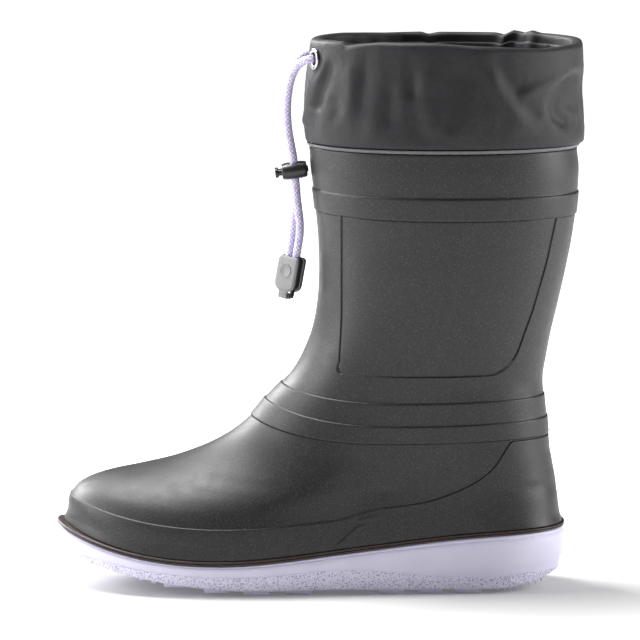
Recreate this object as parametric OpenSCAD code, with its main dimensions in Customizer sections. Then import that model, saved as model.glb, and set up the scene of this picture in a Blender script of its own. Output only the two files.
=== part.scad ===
// Insulated pull-on winter boot, left foot, with a drawcord snow collar.
// Millimetres. +Z is up, the toe points to -X, the outer side of the foot faces -Y.
// The floor is z = 0. The boot stands on the flat faces of its lugs.

/* [Boot] */
// overall length of the sole, from toe to heel
boot_length = 277; // [220:1:330]
// thickness of the moulded wall of the upper
shell_wall = 2.5; // [2:0.1:4]
// thickness of the felt bootie
liner_wall = 4.5; // [3:0.1:6]
// thickness of the removable footbed
footbed_thick = 5; // [3:0.5:8]

/* [Sole] */
// height of the tread lugs
lug_height = 2.7; // [1.5:0.1:5]
// length of one edge lug along the boot
lug_length = 15; // [8:0.5:20]
// width of the edge lugs across the boot
lug_width = 15; // [8:0.5:20]
// height of the beaded strip between sole and upper
welt_height = 2.3; // [1.5:0.1:4]

/* [Collar] */
// height where the fabric collar starts
collar_start = 244; // [240:1:250]
// height of the collar rim at the front
collar_top = 298.5; // [292:0.5:302]
// thickness of one doubled layer of collar fabric
fabric_thick = 0.9; // [0.6:0.1:1.5]
// inside width of the drawcord channel
channel_width = 5.4; // [5:0.1:8]

/* [Drawcord] */
// diameter of the drawcord
cord_dia = 4.6; // [4:0.1:5]
// outside diameter of the eyelets
eyelet_dia = 12; // [10:0.5:14]
// hole through the eyelets
eyelet_hole = 7; // [6:0.5:8]
// sideways distance of each eyelet from the middle of the collar
eyelet_side = 19; // [14:1:26]
// height of the eyelets
eyelet_z = 289.5; // [286:0.5:291]

/* [Cord lock] */
// length of the barrel, front to back
lock_length = 13.8; // [12:0.1:16]
// width of the barrel across the two cords
lock_width = 15; // [14:0.5:18]
// height of the barrel along the cords
lock_height = 9.4; // [8:0.1:11]
// travel of the push button
lock_travel = 1.5; // [1:0.1:2]

/* [Cord end] */
// width of the cord end
end_width = 14.6; // [11:0.5:16]
// height of the cord end without its tab
end_height = 19.6; // [14:0.5:24]
// thickness of the cord end
end_thick = 7.4; // [7:0.1:10]

/* [Hidden] */
gap = 0.3;
long = boot_length / 277;

// Stations up the boot. Each row gives: level at the heel, front x, front z, back x,
// dip of the line along the side, half widths at ball, waist and heel,
// where the front and back rounding end, roundness, toe swing, inner waist cut.
ST = [
    [20, -138, 20, 128.5, 15.4, 47, 39.5, 36, 0.38, 0.83, 2.3, 8, 5],
    [34.5, -141.6, 34.2, 132, 15.4, 49, 41.2, 38.2, 0.38, 0.83, 2.3, 8, 5],
    [40, -138.6, 40.3, 130.6, 14.4, 49.2, 41.4, 38.4, 0.38, 0.82, 2.3, 8, 4.5],
    [50, -135.3, 49.6, 129.3, 12.4, 48.6, 41, 38.2, 0.38, 0.8, 2.3, 8, 4],
    [53, -129.8, 55.4, 128.9, 10, 47.2, 40.8, 38.2, 0.38, 0.8, 2.2, 8, 3.5],
    [57, -116.5, 60.8, 128.4, 8.5, 45.5, 40.4, 38.2, 0.38, 0.79, 2.1, 7.5, 3],
    [61, -97.5, 64.9, 127.8, 7, 43.6, 40, 38.2, 0.38, 0.78, 2.1, 7, 3],
    [65, -79.5, 69.3, 127, 6, 42, 40, 38.4, 0.38, 0.76, 2.1, 6, 2.5],
    [70, -61.5, 76, 126.1, 4.5, 41, 40, 38.6, 0.4, 0.74, 2.1, 5, 2],
    [76, -47.5, 83.8, 125, 3, 40.5, 40.5, 39, 0.42, 0.72, 2.1, 4, 1.5],
    [84, -37, 92.8, 124.4, 2, 40.8, 41, 39.5, 0.44, 0.68, 2.1, 2.5, 1],
    [94, -28.8, 102.8, 123.6, 2, 41.2, 41.5, 40.5, 0.46, 0.64, 2.1, 1.5, 0.5],
    [106, -20.4, 111.6, 122.5, 1.5, 41.8, 42, 41.5, 0.48, 0.6, 2.1, 1, 0],
    [115, -14.6, 118, 122.1, 1, 42.6, 42.6, 42.3, 0.49, 0.56, 2.1, 0, 0],
    [126, -9.2, 127.5, 123.8, 0, 43.8, 43.8, 43.8, 0.5, 0.54, 2.1, 0, 0],
    [140, -4.1, 140.5, 126.4, 0, 45.5, 45.5, 45.5, 0.5, 0.52, 2.1, 0, 0],
    [155, -1.2, 155.5, 129.9, 0, 47.2, 47.2, 47.2, 0.5, 0.51, 2.1, 0, 0],
    [172, -0.2, 172.5, 133.7, 0, 49, 49, 49, 0.5, 0.5, 2.15, 0, 0],
    [190, -0.7, 191, 137.2, 0, 50.5, 50.5, 50.5, 0.5, 0.5, 2.15, 0, 0],
    [205, -2.1, 207, 139.3, 0, 51.6, 51.6, 51.6, 0.5, 0.5, 2.2, 0, 0],
    [217, -3.4, 218.5, 140.4, 0, 52.3, 52.3, 52.3, 0.5, 0.5, 2.2, 0, 0],
    [230, -4.9, 230.7, 141, 0, 52.8, 52.8, 52.8, 0.5, 0.5, 2.2, 0, 0],
    [242, -5.8, 242.5, 140.2, 0, 53, 53, 53, 0.5, 0.5, 2.2, 0, 0],
    [244, -7.4, 244.5, 143.5, 0, 54.6, 54.6, 54.6, 0.5, 0.5, 2.2, 0, 0],
    [258, -8.2, 258.5, 143.1, 0, 55.6, 55.6, 55.6, 0.5, 0.5, 2.2, 0, 0],
    [272, -7.8, 272.5, 142.4, 0, 55.2, 55.2, 55.2, 0.5, 0.5, 2.2, 0, 0],
    [286, -6.1, 286.4, 143, 0, 54.6, 54.6, 54.6, 0.5, 0.5, 2.2, 0, 0],
    [300, -4.5, 301, 142.5, 0, 54, 54, 54, 0.5, 0.5, 2.2, 0, 0]];

function mix(a, b, t) = a + (b - a) * t;
function ease(t) = let (c = max(0, min(1, t))) c * c * (3 - 2 * c);
function row_of(h, i = 0) = (i >= len(ST) - 2 || h < ST[i + 1][0]) ? i : row_of(h, i + 1);
function slope(i) = let (a = max(0, i - 1), b = min(len(ST) - 1, i + 1))
    (ST[b] - ST[a]) / (ST[b][0] - ST[a][0]);
// Smooth curve through the stations.
function station(h) =
    let (i = row_of(h), d = ST[i + 1][0] - ST[i][0], t = (h - ST[i][0]) / d,
        q = t * t, r = q * t)
    (2 * r - 3 * q + 1) * ST[i] + (3 * q - 2 * r) * ST[i + 1]
        + (r - 2 * q + t) * d * slope(i) + (r - q) * d * slope(i + 1);
function dip(u) = 7.75 * u * pow(1 - u, 2.3);
function ends(u, mf, mb, n) =
    u < mf ? pow(max(0, 1 - pow(1 - u / mf, n)), 1 / n)
    : u > mb ? pow(max(0, 1 - pow((u - mb) / (1 - mb), n)), 1 / n)
    : 1;
function half_width(u, wb, ww, wh) =
    wb + (ww - wb) * ease((u - 0.33) / 0.27) + (wh - ww) * ease((u - 0.6) / 0.25);
function swing(u, toe_in) = u < 0.38 ? toe_in * pow(1 - u / 0.38, 2) : 0;

// A point of the boot's outer form: turn 0 front, 90 outer side, 180 back, 270 inner side.
function form(turn, h) =
    let (s = station(h), u = (1 - cos(turn)) / 2, inner = turn > 180 || turn < 0,
        w = half_width(u, s[5], s[6], s[7]) * ends(u, s[8], s[9], s[10]),
        cut = inner ? s[12] * exp(-pow((u - 0.58) / 0.15, 2)) : 0)
    [mix(s[1], s[3], u) * long,
        (inner ? w - cut : -w) + swing(u, s[11]),
        s[0] + (s[2] - s[0]) * pow(1 - u, 5) - s[4] * dip(u)];

// The same point moved outwards by a distance along the surface normal.
function skin(turn, h, out) =
    let (a = form(turn - 1, h), b = form(turn + 1, h),
        c = form(turn, h - 0.6), d = form(turn, h + 0.6),
        n = cross(b - a, d - c),
        k = ease((h - 37) / 6) * (1 - ease((h - 125) / 25)),
        m = [n[0], n[1], n[2] * k])
    form(turn, h) + out * m / norm(m);

// Columns round the boot, closer together at the edges of the shaft panels.
HALF = [0, 7, 14, 21, 28, 34, 38.2, 40, 46, 53, 60, 68, 76, 84, 92, 100, 108, 116, 124,
    132, 138, 142, 143.8, 150, 157, 164.5, 172];
COLS = concat(HALF, [180], [for (i = [len(HALF) - 1 : -1 : 1]) 360 - HALF[i]]);
N = len(COLS);

// Surface of one solid between rings of N points; the first and last ring are capped.
function sheet_faces(rings) = [for (j = [0 : rings - 2], i = [0 : N - 1])
    let (a = j * N + i, b = j * N + (i + 1) % N, c = b + N, d = a + N)
    each [[a, d, c], [a, c, b]]];
function lid_faces(at, up) = [for (i = [0 : N / 2 - 1])
    let (a = at + i, b = at + i + 1, c = at + N - i - 1, d = at + (N - i) % N)
    each (b == c ? [up ? [d, b, a] : [a, b, d]]
        : d == a ? [up ? [c, b, a] : [a, b, c]]
        : up ? [[c, b, a], [d, c, a]] : [[a, b, c], [a, c, d]])];
module cup(rings) {
    polyhedron(
        points = [for (r = rings) each r],
        faces = concat(sheet_faces(len(rings)), lid_faces(0, false),
            lid_faces((len(rings) - 1) * N, true)),
        convexity = 8);
}
module hoop(rings) {
    count = len(rings);
    polyhedron(
        points = [for (r = rings) each r],
        faces = [for (j = [0 : count - 1], i = [0 : N - 1])
            let (k = (j + 1) % count, a = j * N + i, b = j * N + (i + 1) % N,
                c = k * N + (i + 1) % N, d = k * N + i)
            each [[a, d, c], [a, c, b]]],
        convexity = 8);
}
function ring(h, out) = [for (t = COLS) skin(t, h, out)];

// ---------------------------------------------------------------- upper
// The raised lower part climbs from the toe cap line to the ankle over the heel.
function climb(turn) = let (u = (1 - cos(turn)) / 2, v = max(0, min(1, (u - 0.6) / 0.308)))
    0.09 * ease((u - 0.55) / 0.12) + 0.91 * pow(v, 5);
// At the toe the wall stands back from the welt.
function tuck(turn) = 2.3 * (1 - ease((1 - cos(turn)) / 2 / 0.16));
function lower_ring(k, out) = [for (t = COLS)
    skin(t, mix(mix(36, 49.7, k), mix(36, 83.3, k), climb(t)),
        out - tuck(t) * pow(1 - k, 1.2))];
function upper_ring(k, out) = [for (t = COLS)
    skin(t, mix(mix(50.3, 83.9, k), mix(83.5, 83.9, k), climb(t)), out)];
function in_panel(turn) = let (t = turn > 180 ? 360 - turn : turn) t > 39 && t < 143;
function panel_ring(h, out) = [for (t = COLS) skin(t, h, in_panel(t) ? out - 0.7 : out)];
function shell_outer() = concat(
    [ring(27, -4), ring(35.6, -4)],
    [for (k = [0, 0.3, 0.65, 1]) lower_ring(k, 1)],
    [for (k = [0, 0.09, 0.18, 0.28, 0.39, 0.5, 0.62, 0.75, 0.88, 1]) upper_ring(k, 0.4)],
    [ring(84.6, 1.25), ring(93.6, 1.25), ring(94.2, 0.65), ring(105.6, 0.65), ring(106.2, 0)],
    [ring(112, 0), ring(119.4, 0), panel_ring(120.2, 0)],
    [for (h = [130, 142, 154, 168, 182, 194]) panel_ring(h, 0)],
    [panel_ring(204.2, 0), ring(205, 0.8), ring(216.2, 0.8), ring(217, 0)],
    [ring(228, 0), ring(240.8, 0)]);
INNER = [44, 50, 55, 60, 66, 74, 84, 96, 108, 120, 134, 152, 176, 200, 222];
function shell_inner() = concat([for (h = [240.8, 235, 228]) ring(h, -shell_wall)],
    [for (i = [len(INNER) - 1 : -1 : 0]) ring(INNER[i], -shell_wall)],
    [ring(38, -shell_wall)]);

module upper_shell() color("#46464a")
    cup(concat(shell_outer(), shell_inner(), [ring(30, -4 - shell_wall)]));

// ---------------------------------------------------------------- sole
function tread_z(u) = lug_height
    + 16 * pow(max(0, 1 - u / 0.45), 2.2) + 7 * pow(max(0, (u - 0.85) / 0.15), 2);
// Outline of the sole side: k = 0 at the tread edge, k = 1 at the lip under the welt.
function sole_ring(k, out) = [for (t = COLS)
    let (p = skin(t, 33, out), u = (1 - cos(t)) / 2)
    [p[0], p[1], mix(tread_z(u), p[2], k)]];
module sole_body() {
    cup([sole_ring(0, -2.6), sole_ring(0.12, -0.6), sole_ring(0.45, 2), sole_ring(0.85, 2.2),
        sole_ring(0.93, 1.3), sole_ring(1, 0.8), sole_ring(1, -3.7), ring(26.6, -3.7)]);
}
// One lug: a block that tapers towards the ground, as long as the level it stands on.
module lug(x0, x1, y0, y1, rise) {
    hull() {
        translate([x0 + 1, y0 + 1, rise])
            cube([x1 - x0 - 2, y1 - y0 - 2, 0.2]);
        translate([x0, y0, rise + lug_height + 0.6])
            cube([x1 - x0, y1 - y0, 0.4]);
    }
}
function level(x) = let (u = (x / long + 138) / 267) tread_z(u) - lug_height;
function edge(x, side) =
    let (u = max(0, min(1, (x / long + 141) / 272.6)), t = acos(1 - 2 * u))
    skin(side < 0 ? t : 360 - t, 33, -3)[1];
LUGS = [-85, -63, -41.5, -18.5, 31.5, 52.5, 73.5];
module lugs() {
    for (x = LUGS * long) {
        near = max(edge(x, -1), edge(x + lug_length, -1));
        far = min(edge(x, 1), edge(x + lug_length, 1));
        low = max(level(x), level(x + lug_length));
        lug(x, x + lug_length, near, near + lug_width, low);
        lug(x, x + lug_length, far - lug_width, far, low);
        lug(x - 6.3, x + lug_length - 8.2, near + lug_width + 3.6, -2.1, low);
        lug(x - 6.3, x + lug_length - 8.2, 2.1, far - lug_width - 3.6, low);
    }
    // toe lugs and the fine teeth of the toe and heel
    for (x = [-105 : 6.5 : -92])
        lug(x, x + 4.5, edge(x, -1) + 1, edge(x, 1) - 1, level(x) + 0.4);
    for (x = [-124 : 3.4 : -111])
        lug(x, x + 2.2, edge(x, -1) + 1, edge(x, 1) - 1, level(x) + 1);
    for (x = [96 : 3.4 : 120])
        lug(x, x + 2.2, edge(x, -1) + 2, edge(x, 1) - 2, level(x) + 0.2);
}
module outsole() color("#c8c4d8") {
    sole_body();
    lugs();
}
module welt_bead() color("#463a38")
    hoop([ring(33.3, 1.7), ring(33.9, 2.2), ring(34.45, 1.7), ring(35, 2.2),
        ring(33.3 + welt_height, 1.6), ring(33.3 + welt_height, -3.6), ring(33.3, -3.6)]);
module top_piping() color("#8d8d92")
    hoop([ring(241.1, 0.2), ring(242, 0.9), ring(243, 0.9), ring(243.5, 0.1),
        ring(243, -1.1), ring(241.6, -1.3)]);

// ---------------------------------------------------------------- inside
module insole_board() color("#b9a68a")
    cup([ring(30.4, -7.6), ring(32.2, -7.6)]);
module liner_sock() color("#6f6f72")
    cup(concat([ring(32.6, -7.6), ring(38, -shell_wall - 2 * gap)],
        [for (h = INNER) ring(h, -shell_wall - 2 * gap)],
        [ring(226, -shell_wall - 1.8), ring(240.6, -shell_wall - 1.8),
            ring(240.6, -shell_wall - 1.8 - liner_wall),
            ring(226, -shell_wall - 1.8 - liner_wall)],
        [for (h = [222, 200, 176, 152, 134, 120, 108, 97, 87, 78, 70, 64, 58, 52, 46])
            ring(h, -shell_wall - 2 * gap - liner_wall)],
        [ring(40, -shell_wall - 2 * gap - liner_wall - 1.2),
            ring(36.8, -7.6 - liner_wall + 1)]));
module footbed() color("#3c3c40")
    cup([ring(37.2, -12.4), ring(37.2 + footbed_thick, -10.2), ring(38.4 + footbed_thick, -11)]);

// ---------------------------------------------------------------- collar
in_leg = fabric_thick + channel_width;
module collar_sleeve() {
    f = fabric_thick;
    hoop([ring(228, -shell_wall - gap), ring(241.4, -shell_wall - gap),
        ring(243.3, -1.8), ring(collar_start, 0), ring(251, 0.1), ring(260, 0), ring(271, 0),
        ring(281, 0), ring(290, 0), ring(collar_top - 2.2, 0), ring(collar_top - 0.6, -0.9),
        ring(collar_top, -3), ring(collar_top - 0.6, -in_leg + 0.4),
        ring(collar_top - 2.2, -in_leg - 0.4),
        ring(290, -in_leg - f), ring(283.5, -in_leg - f), ring(283.5, -in_leg),
        ring(290, -in_leg), ring(collar_top - 2.8, -in_leg),
        ring(collar_top - 1.4, -4.6), ring(collar_top - 1.4, -2.2),
        ring(collar_top - 2.8, -f), ring(290, -f), ring(281, -f), ring(271, -f),
        ring(260, -f), ring(251, -f + 0.1), ring(collar_start + 1, -f - 0.2),
        ring(243.6, -f - 2.4), ring(241, -shell_wall - gap - f),
        ring(228, -shell_wall - gap - f)]);
}
EYE = skin(acos(1 - 2 * 0.0235), eyelet_z, 0);
eye_x = EYE[0];
eye_turn = 22.6;
// Places a child at an eyelet: its +Z axis points out of the collar.
module at_eyelet(side) {
    translate([eye_x, side * eyelet_side, eyelet_z])
        rotate([0, 0, -side * eye_turn])
            rotate([0, -90, 0])
                children();
}
module collar_outer() color("#37373b") {
    difference() {
        collar_sleeve();
        for (side = [-1, 1])
            at_eyelet(side) {
                translate([0, 0, -3.4])
                    cylinder(h = 7, d = 8.6, $fn = 32);
                // flat seats under the flange and the washer
                translate([0, 0, 0.25])
                    cylinder(h = 3, d = eyelet_dia + 0.6, $fn = 32);
                translate([0, 0, -3.4])
                    cylinder(h = 2.4, d = eyelet_dia - 0.4, $fn = 32);
            }
    }
}
module collar_lining() color("#2c2c30") {
    f = fabric_thick;
    hoop([ring(242, -5), ring(256, -4.6), ring(270, -4.6), ring(279, -5.6),
        ring(283.5, -in_leg - f - gap), ring(293, -in_leg - f - gap),
        ring(293, -in_leg - 2 * f - gap), ring(283.3, -in_leg - 2 * f - gap),
        ring(278.6, -5.6 - f), ring(270, -4.6 - f), ring(256, -4.6 - f), ring(242, -5 - f)]);
}

// ---------------------------------------------------------------- eyelets
module eyelet() {
    rotate_extrude($fn = 48)
        polygon([[eyelet_hole / 2, -1.4], [8 / 2, -1.4], [8 / 2, 0.35],
            [eyelet_dia / 2 - 0.4, 0.35], [eyelet_dia / 2, 0.7], [eyelet_dia / 2 - 0.6, 1.2],
            [eyelet_hole / 2 + 0.9, 1.5], [eyelet_hole / 2 + 0.2, 1.2], [eyelet_hole / 2, 0.8]]);
}
module eyelet_washer() {
    translate([0, 0, -1.4])
        difference() {
            cylinder(h = 0.35, d = eyelet_dia - 1, $fn = 48);
            translate([0, 0, -1])
                cylinder(h = 3, d = 8.1, $fn = 48);
        }
}
module eyelet_near() color("#c9cacc") at_eyelet(-1) eyelet();
module eyelet_far() color("#c9cacc") at_eyelet(1) eyelet();
module eyelet_washer_near() color("#c9cacc") at_eyelet(-1) eyelet_washer();
module eyelet_washer_far() color("#c9cacc") at_eyelet(1) eyelet_washer();

// ---------------------------------------------------------------- drawcord
// A round cord along a route. The flat reference keeps its rings from twisting.
module cord(route, flat, dia = cord_dia, sides = 12) {
    last = len(route) - 1;
    points = [for (i = [0 : last])
        let (t = route[min(last, i + 1)] - route[max(0, i - 1)], a = t / norm(t),
            b = cross(flat, a), e = b / norm(b), g = cross(a, e))
        for (s = [0 : sides - 1])
            route[i] + dia / 2 * (cos(360 * s / sides) * e + sin(360 * s / sides) * g)];
    faces = concat(
        [for (i = [0 : last - 1], s = [0 : sides - 1])
            let (a = i * sides + s, b = i * sides + (s + 1) % sides, c = b + sides, d = a + sides)
            each [[a, d, c], [a, c, b]]],
        [[for (s = [0 : sides - 1]) s]],
        [[for (s = [sides - 1 : -1 : 0]) last * sides + s]]);
    polyhedron(points = points, faces = faces, convexity = 10);
}
run_in = -fabric_thick - channel_width / 2;
run_z = 291.2;
out_dir = [-cos(eye_turn), -sin(eye_turn), 0];
EYE_NEAR = [eye_x, -eyelet_side, eyelet_z];
function to_far(p) = [p[0], -p[1], p[2]];
RUN_START = [EYE_NEAR - 0.8 * out_dir, EYE_NEAR - 2.7 * out_dir,
    EYE_NEAR - 3.4 * out_dir + [0.25, -0.6, 0.1], EYE_NEAR - 3.95 * out_dir + [1.1, -3.3, 0.6]];
RUN = concat(RUN_START, [for (t = [33 : 9.8 : 327]) skin(t, run_z, run_in)],
    [for (i = [3 : -1 : 0]) to_far(RUN_START[i])]);
module drawcord_channel_run() color("#cfcadd") cord(RUN, [0, 0, 1]);

lean = 5;
lock_at = [-13.5, 0, 227.4];
cord_y = 2.45;
down = [sin(lean), 0, -cos(lean)];
TOP = [EYE_NEAR + 1.4 * out_dir, EYE_NEAR + 3.4 * out_dir + [0, 0.5, -0.1],
    [-8.4, -17.6, 288.3], [-12.4, -14, 284.6], [-15.4, -10.2, 277.5], [-17.1, -7, 268],
    [-17.5, -4.6, 258], [-16.7, -3, 248.5], [-15.2, -cord_y, 240],
    lock_at - 5 * down - [0, cord_y, 0], lock_at + 6 * down - [0, cord_y, 0],
    lock_at + 13 * down - [0, cord_y, 0]];
LEG = concat(TOP, [[-11.3, -cord_y, 206], [-10.5, -cord_y, 198.5], [-10.7, -2.35, 191.5],
    [-11.6, -2.1, 185.8], [-12.4, -1.6, 180.6], [-12.9, -1.6, 177.4]]);
FAR_LEG = concat([for (p = TOP) to_far(p)], [[-12.8, cord_y, 206], [-13.8, cord_y, 198.5],
    [-14.6, 2.35, 191.5], [-15.5, 2.1, 185.8], [-16.2, 1.6, 180.6], [-16.6, 1.6, 178.1]]);
module drawcord_near_leg() color("#d4cfe2") cord(LEG, [0, 1, 0]);
module drawcord_far_leg() color("#d4cfe2") cord(FAR_LEG, [0, 1, 0]);

// ---------------------------------------------------------------- cord lock
// Lock axes: X along the plunger with the button at -X, Z along the cords.
module at_lock() translate(lock_at) rotate([0, -8, 0]) children();
module slot_cut(x0, x1, width, tall) {
    translate([(x0 + x1) / 2, 0, -tall / 2])
        linear_extrude(tall)
            offset(r = 1.2, $fn = 24)
                square([x1 - x0 - 2.4, width - 2.4], center = true);
}
module oval_bar(x0, x1, width, tall) {
    translate([x0, 0, 0])
        rotate([90, 0, 90])
            linear_extrude(x1 - x0)
                offset(r = tall / 2 - 0.2, $fn = 40)
                    square([width - tall + 0.4, 0.4], center = true);
}
half = lock_length / 2;
module lock_barrel() color("#17181b") at_lock() {
    difference() {
        union() {
            oval_bar(-half + 0.6, half - 0.6, lock_width, lock_height);
            oval_bar(-half, half, lock_width - 1, lock_height - 1);
            oval_bar(half - 0.2, half + 0.7, 5, 3.4);
        }
        oval_bar(-half - 1, half - 0.7, 12.2, 6.2);
        slot_cut(-2.85, 2.85, 10.2, 20);
    }
}
module lock_plunger() color("#17181b") at_lock() {
    difference() {
        union() {
            oval_bar(-half + 0.5, 3.5, 12, 6);
            oval_bar(-half - 2.3, -half + 0.8, 9, 3.4);
            oval_bar(-half - 3.7, -half - lock_travel - 0.4, 10.4, 5.2);
        }
        slot_cut(-2.85 - lock_travel, 2.85, 10.2, 20);
    }
}
module lock_spring() color("#b9babd") at_lock() {
    turns = 2.5;
    rest = half - 0.7 - 3.5 - 0.7;
    cord([for (i = [0 : 26]) let (a = 360 * turns * i / 26)
        [3.85 + rest * i / 26, 1.7 * cos(a), 1.7 * sin(a)]], [1, 0, 0], 0.5, 6);
}

// ---------------------------------------------------------------- cord end
// End axes: X across, -Y towards the cover, Z up; z = 0 where the cords go in.
end_at = [-14.3, 0, 180.6];
end_tilt = 10;
end_turn = -40;
module at_end() translate(end_at) rotate([0, end_tilt, 0]) rotate([0, 0, end_turn]) children();
wall = 1.1;
module end_outline(width, top, bottom, r) {
    hull()
        for (x = [-1, 1]) {
            translate([x * (width / 2 - r), -r - top])
                circle(r, $fn = 32);
            translate([x * (width / 2 - r - 2.6), -bottom + r + 2.6])
                circle(r + 2.6, $fn = 48);
        }
}
module plate(y0, y1, width, top, bottom, r) {
    translate([0, y1, 0])
        rotate([90, 0, 0])
            linear_extrude(y1 - y0)
                end_outline(width, top, bottom, r);
}
module cord_end_base() color("#222226") at_end() {
    difference() {
        union() {
            plate(-end_thick / 2 + 1.8, end_thick / 2, end_width, 0, end_height, 2);
            // hinge ears of the bottom tab
            for (x = [-4.6, 3.2])
                translate([x, -1.2, -end_height - 2.4])
                    cube([1.4, 2.6, 4]);
            translate([-4.6, 0, -end_height - 2.4])
                rotate([0, 90, 0])
                    cylinder(h = 9.2, d = 1.6, $fn = 32);
        }
        // pocket for the two knots, open towards the cover
        translate([0, -end_thick / 2 - 1 + (end_thick - wall) / 2, -end_height / 2 - 0.4])
            cube([end_width - 2 * wall, end_thick - wall + 0.8, end_height - 2 * wall - 0.6],
                center = true);
        // mouth for the two cords
        translate([0, 0, -3])
            linear_extrude(6)
                offset(r = 3, $fn = 32)
                    square([5, 0.1], center = true);
    }
}
module cord_end_cover() color("#76767c") at_end() {
    difference() {
        union() {
            plate(-end_thick / 2, -end_thick / 2 + 1.5, end_width - 0.4, 0.5, end_height, 2);
            // plain raised disc in place of any mark
            translate([0, -end_thick / 2 + 0.2, -8.4])
                rotate([90, 0, 0])
                    cylinder(h = 0.7, d = 7, $fn = 48);
            translate([-2.9, -end_thick / 2, -end_height - 2.4])
                cube([5.8, 1.5, 4]);
            translate([-2.9, 0, -end_height - 2.4])
                rotate([0, 90, 0])
                    cylinder(h = 5.8, d = 3.2, $fn = 32);
            translate([-2.9, -end_thick / 2 + 0.2, -end_height - 4])
                cube([5.8, end_thick / 2 - 0.2, 1.8]);
        }
        translate([-6, 0, -end_height - 2.4])
            rotate([0, 90, 0])
                cylinder(h = 12, d = 1.7, $fn = 32);
        translate([0, 0, -3])
            linear_extrude(6)
                offset(r = 3, $fn = 32)
                    square([5, 0.1], center = true);
    }
}
module knot(side) {
    at_end()
        translate([side * 2.5, -0.1, -6.2])
            sphere(d = 3.8, $fn = 32);
}
module cord_knot_near() color("#d4cfe2") knot(1);
module cord_knot_far() color("#d4cfe2") knot(-1);

outsole();
welt_bead();
upper_shell();
top_piping();
insole_board();
liner_sock();
footbed();
collar_outer();
collar_lining();
eyelet_near();
eyelet_far();
eyelet_washer_near();
eyelet_washer_far();
drawcord_channel_run();
drawcord_near_leg();
drawcord_far_leg();
lock_barrel();
lock_plunger();
lock_spring();
cord_end_base();
cord_end_cover();
cord_knot_near();
cord_knot_far();
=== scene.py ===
"""A left pull-on winter boot: moulded upper, lugged sole, felt sock and drawcord collar.

Metres. +Z is up, the toe points to -X and the outer side of the foot faces -Y.
Sizes in the tables below are millimetres and are turned into metres where they are used.
"""
import math

import bpy
import numpy as np
from mathutils import Matrix, Vector, noise


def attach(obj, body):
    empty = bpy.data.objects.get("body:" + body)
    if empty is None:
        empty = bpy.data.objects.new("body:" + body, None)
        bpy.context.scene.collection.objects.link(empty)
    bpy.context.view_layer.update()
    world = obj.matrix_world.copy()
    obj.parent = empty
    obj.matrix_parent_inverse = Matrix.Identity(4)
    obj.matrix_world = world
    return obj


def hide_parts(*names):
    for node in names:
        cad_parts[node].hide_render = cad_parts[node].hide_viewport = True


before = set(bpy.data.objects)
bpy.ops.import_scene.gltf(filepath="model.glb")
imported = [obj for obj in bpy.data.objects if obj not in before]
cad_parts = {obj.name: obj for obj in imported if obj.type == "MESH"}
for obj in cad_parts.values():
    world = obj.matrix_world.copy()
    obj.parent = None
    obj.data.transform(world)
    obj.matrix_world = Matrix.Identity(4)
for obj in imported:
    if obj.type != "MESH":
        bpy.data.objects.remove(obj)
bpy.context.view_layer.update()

MM = 0.001
SHELL_WALL = 2.5
LINER_OUTSIDE, LINER_INSIDE = 3.1, 7.6
BOOT, CORDS, LOCK = "boot", "drawcord", "cord_lock"
PLUNGER, COVER = "plunger", "cord_end_cover"


# ---------------------------------------------------------------- camera
def place_camera(place, aim, lens):
    """Put the camera at a place, looking at a point."""
    bpy.ops.object.select_all(action="DESELECT")
    turned = (Vector(aim) - Vector(place)).to_track_quat("-Z", "Y").to_euler()
    bpy.ops.object.camera_add(location=place, rotation=turned)
    camera = bpy.context.object
    camera.name = "studio_camera"
    camera.data.lens = lens
    camera.data.sensor_width = 36
    camera.data.clip_end = 50
    bpy.context.scene.camera = camera


place_camera((0.0004, -3.0, 0.530), (0.0004, 0.0, 0.1453), 311.9)


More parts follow.
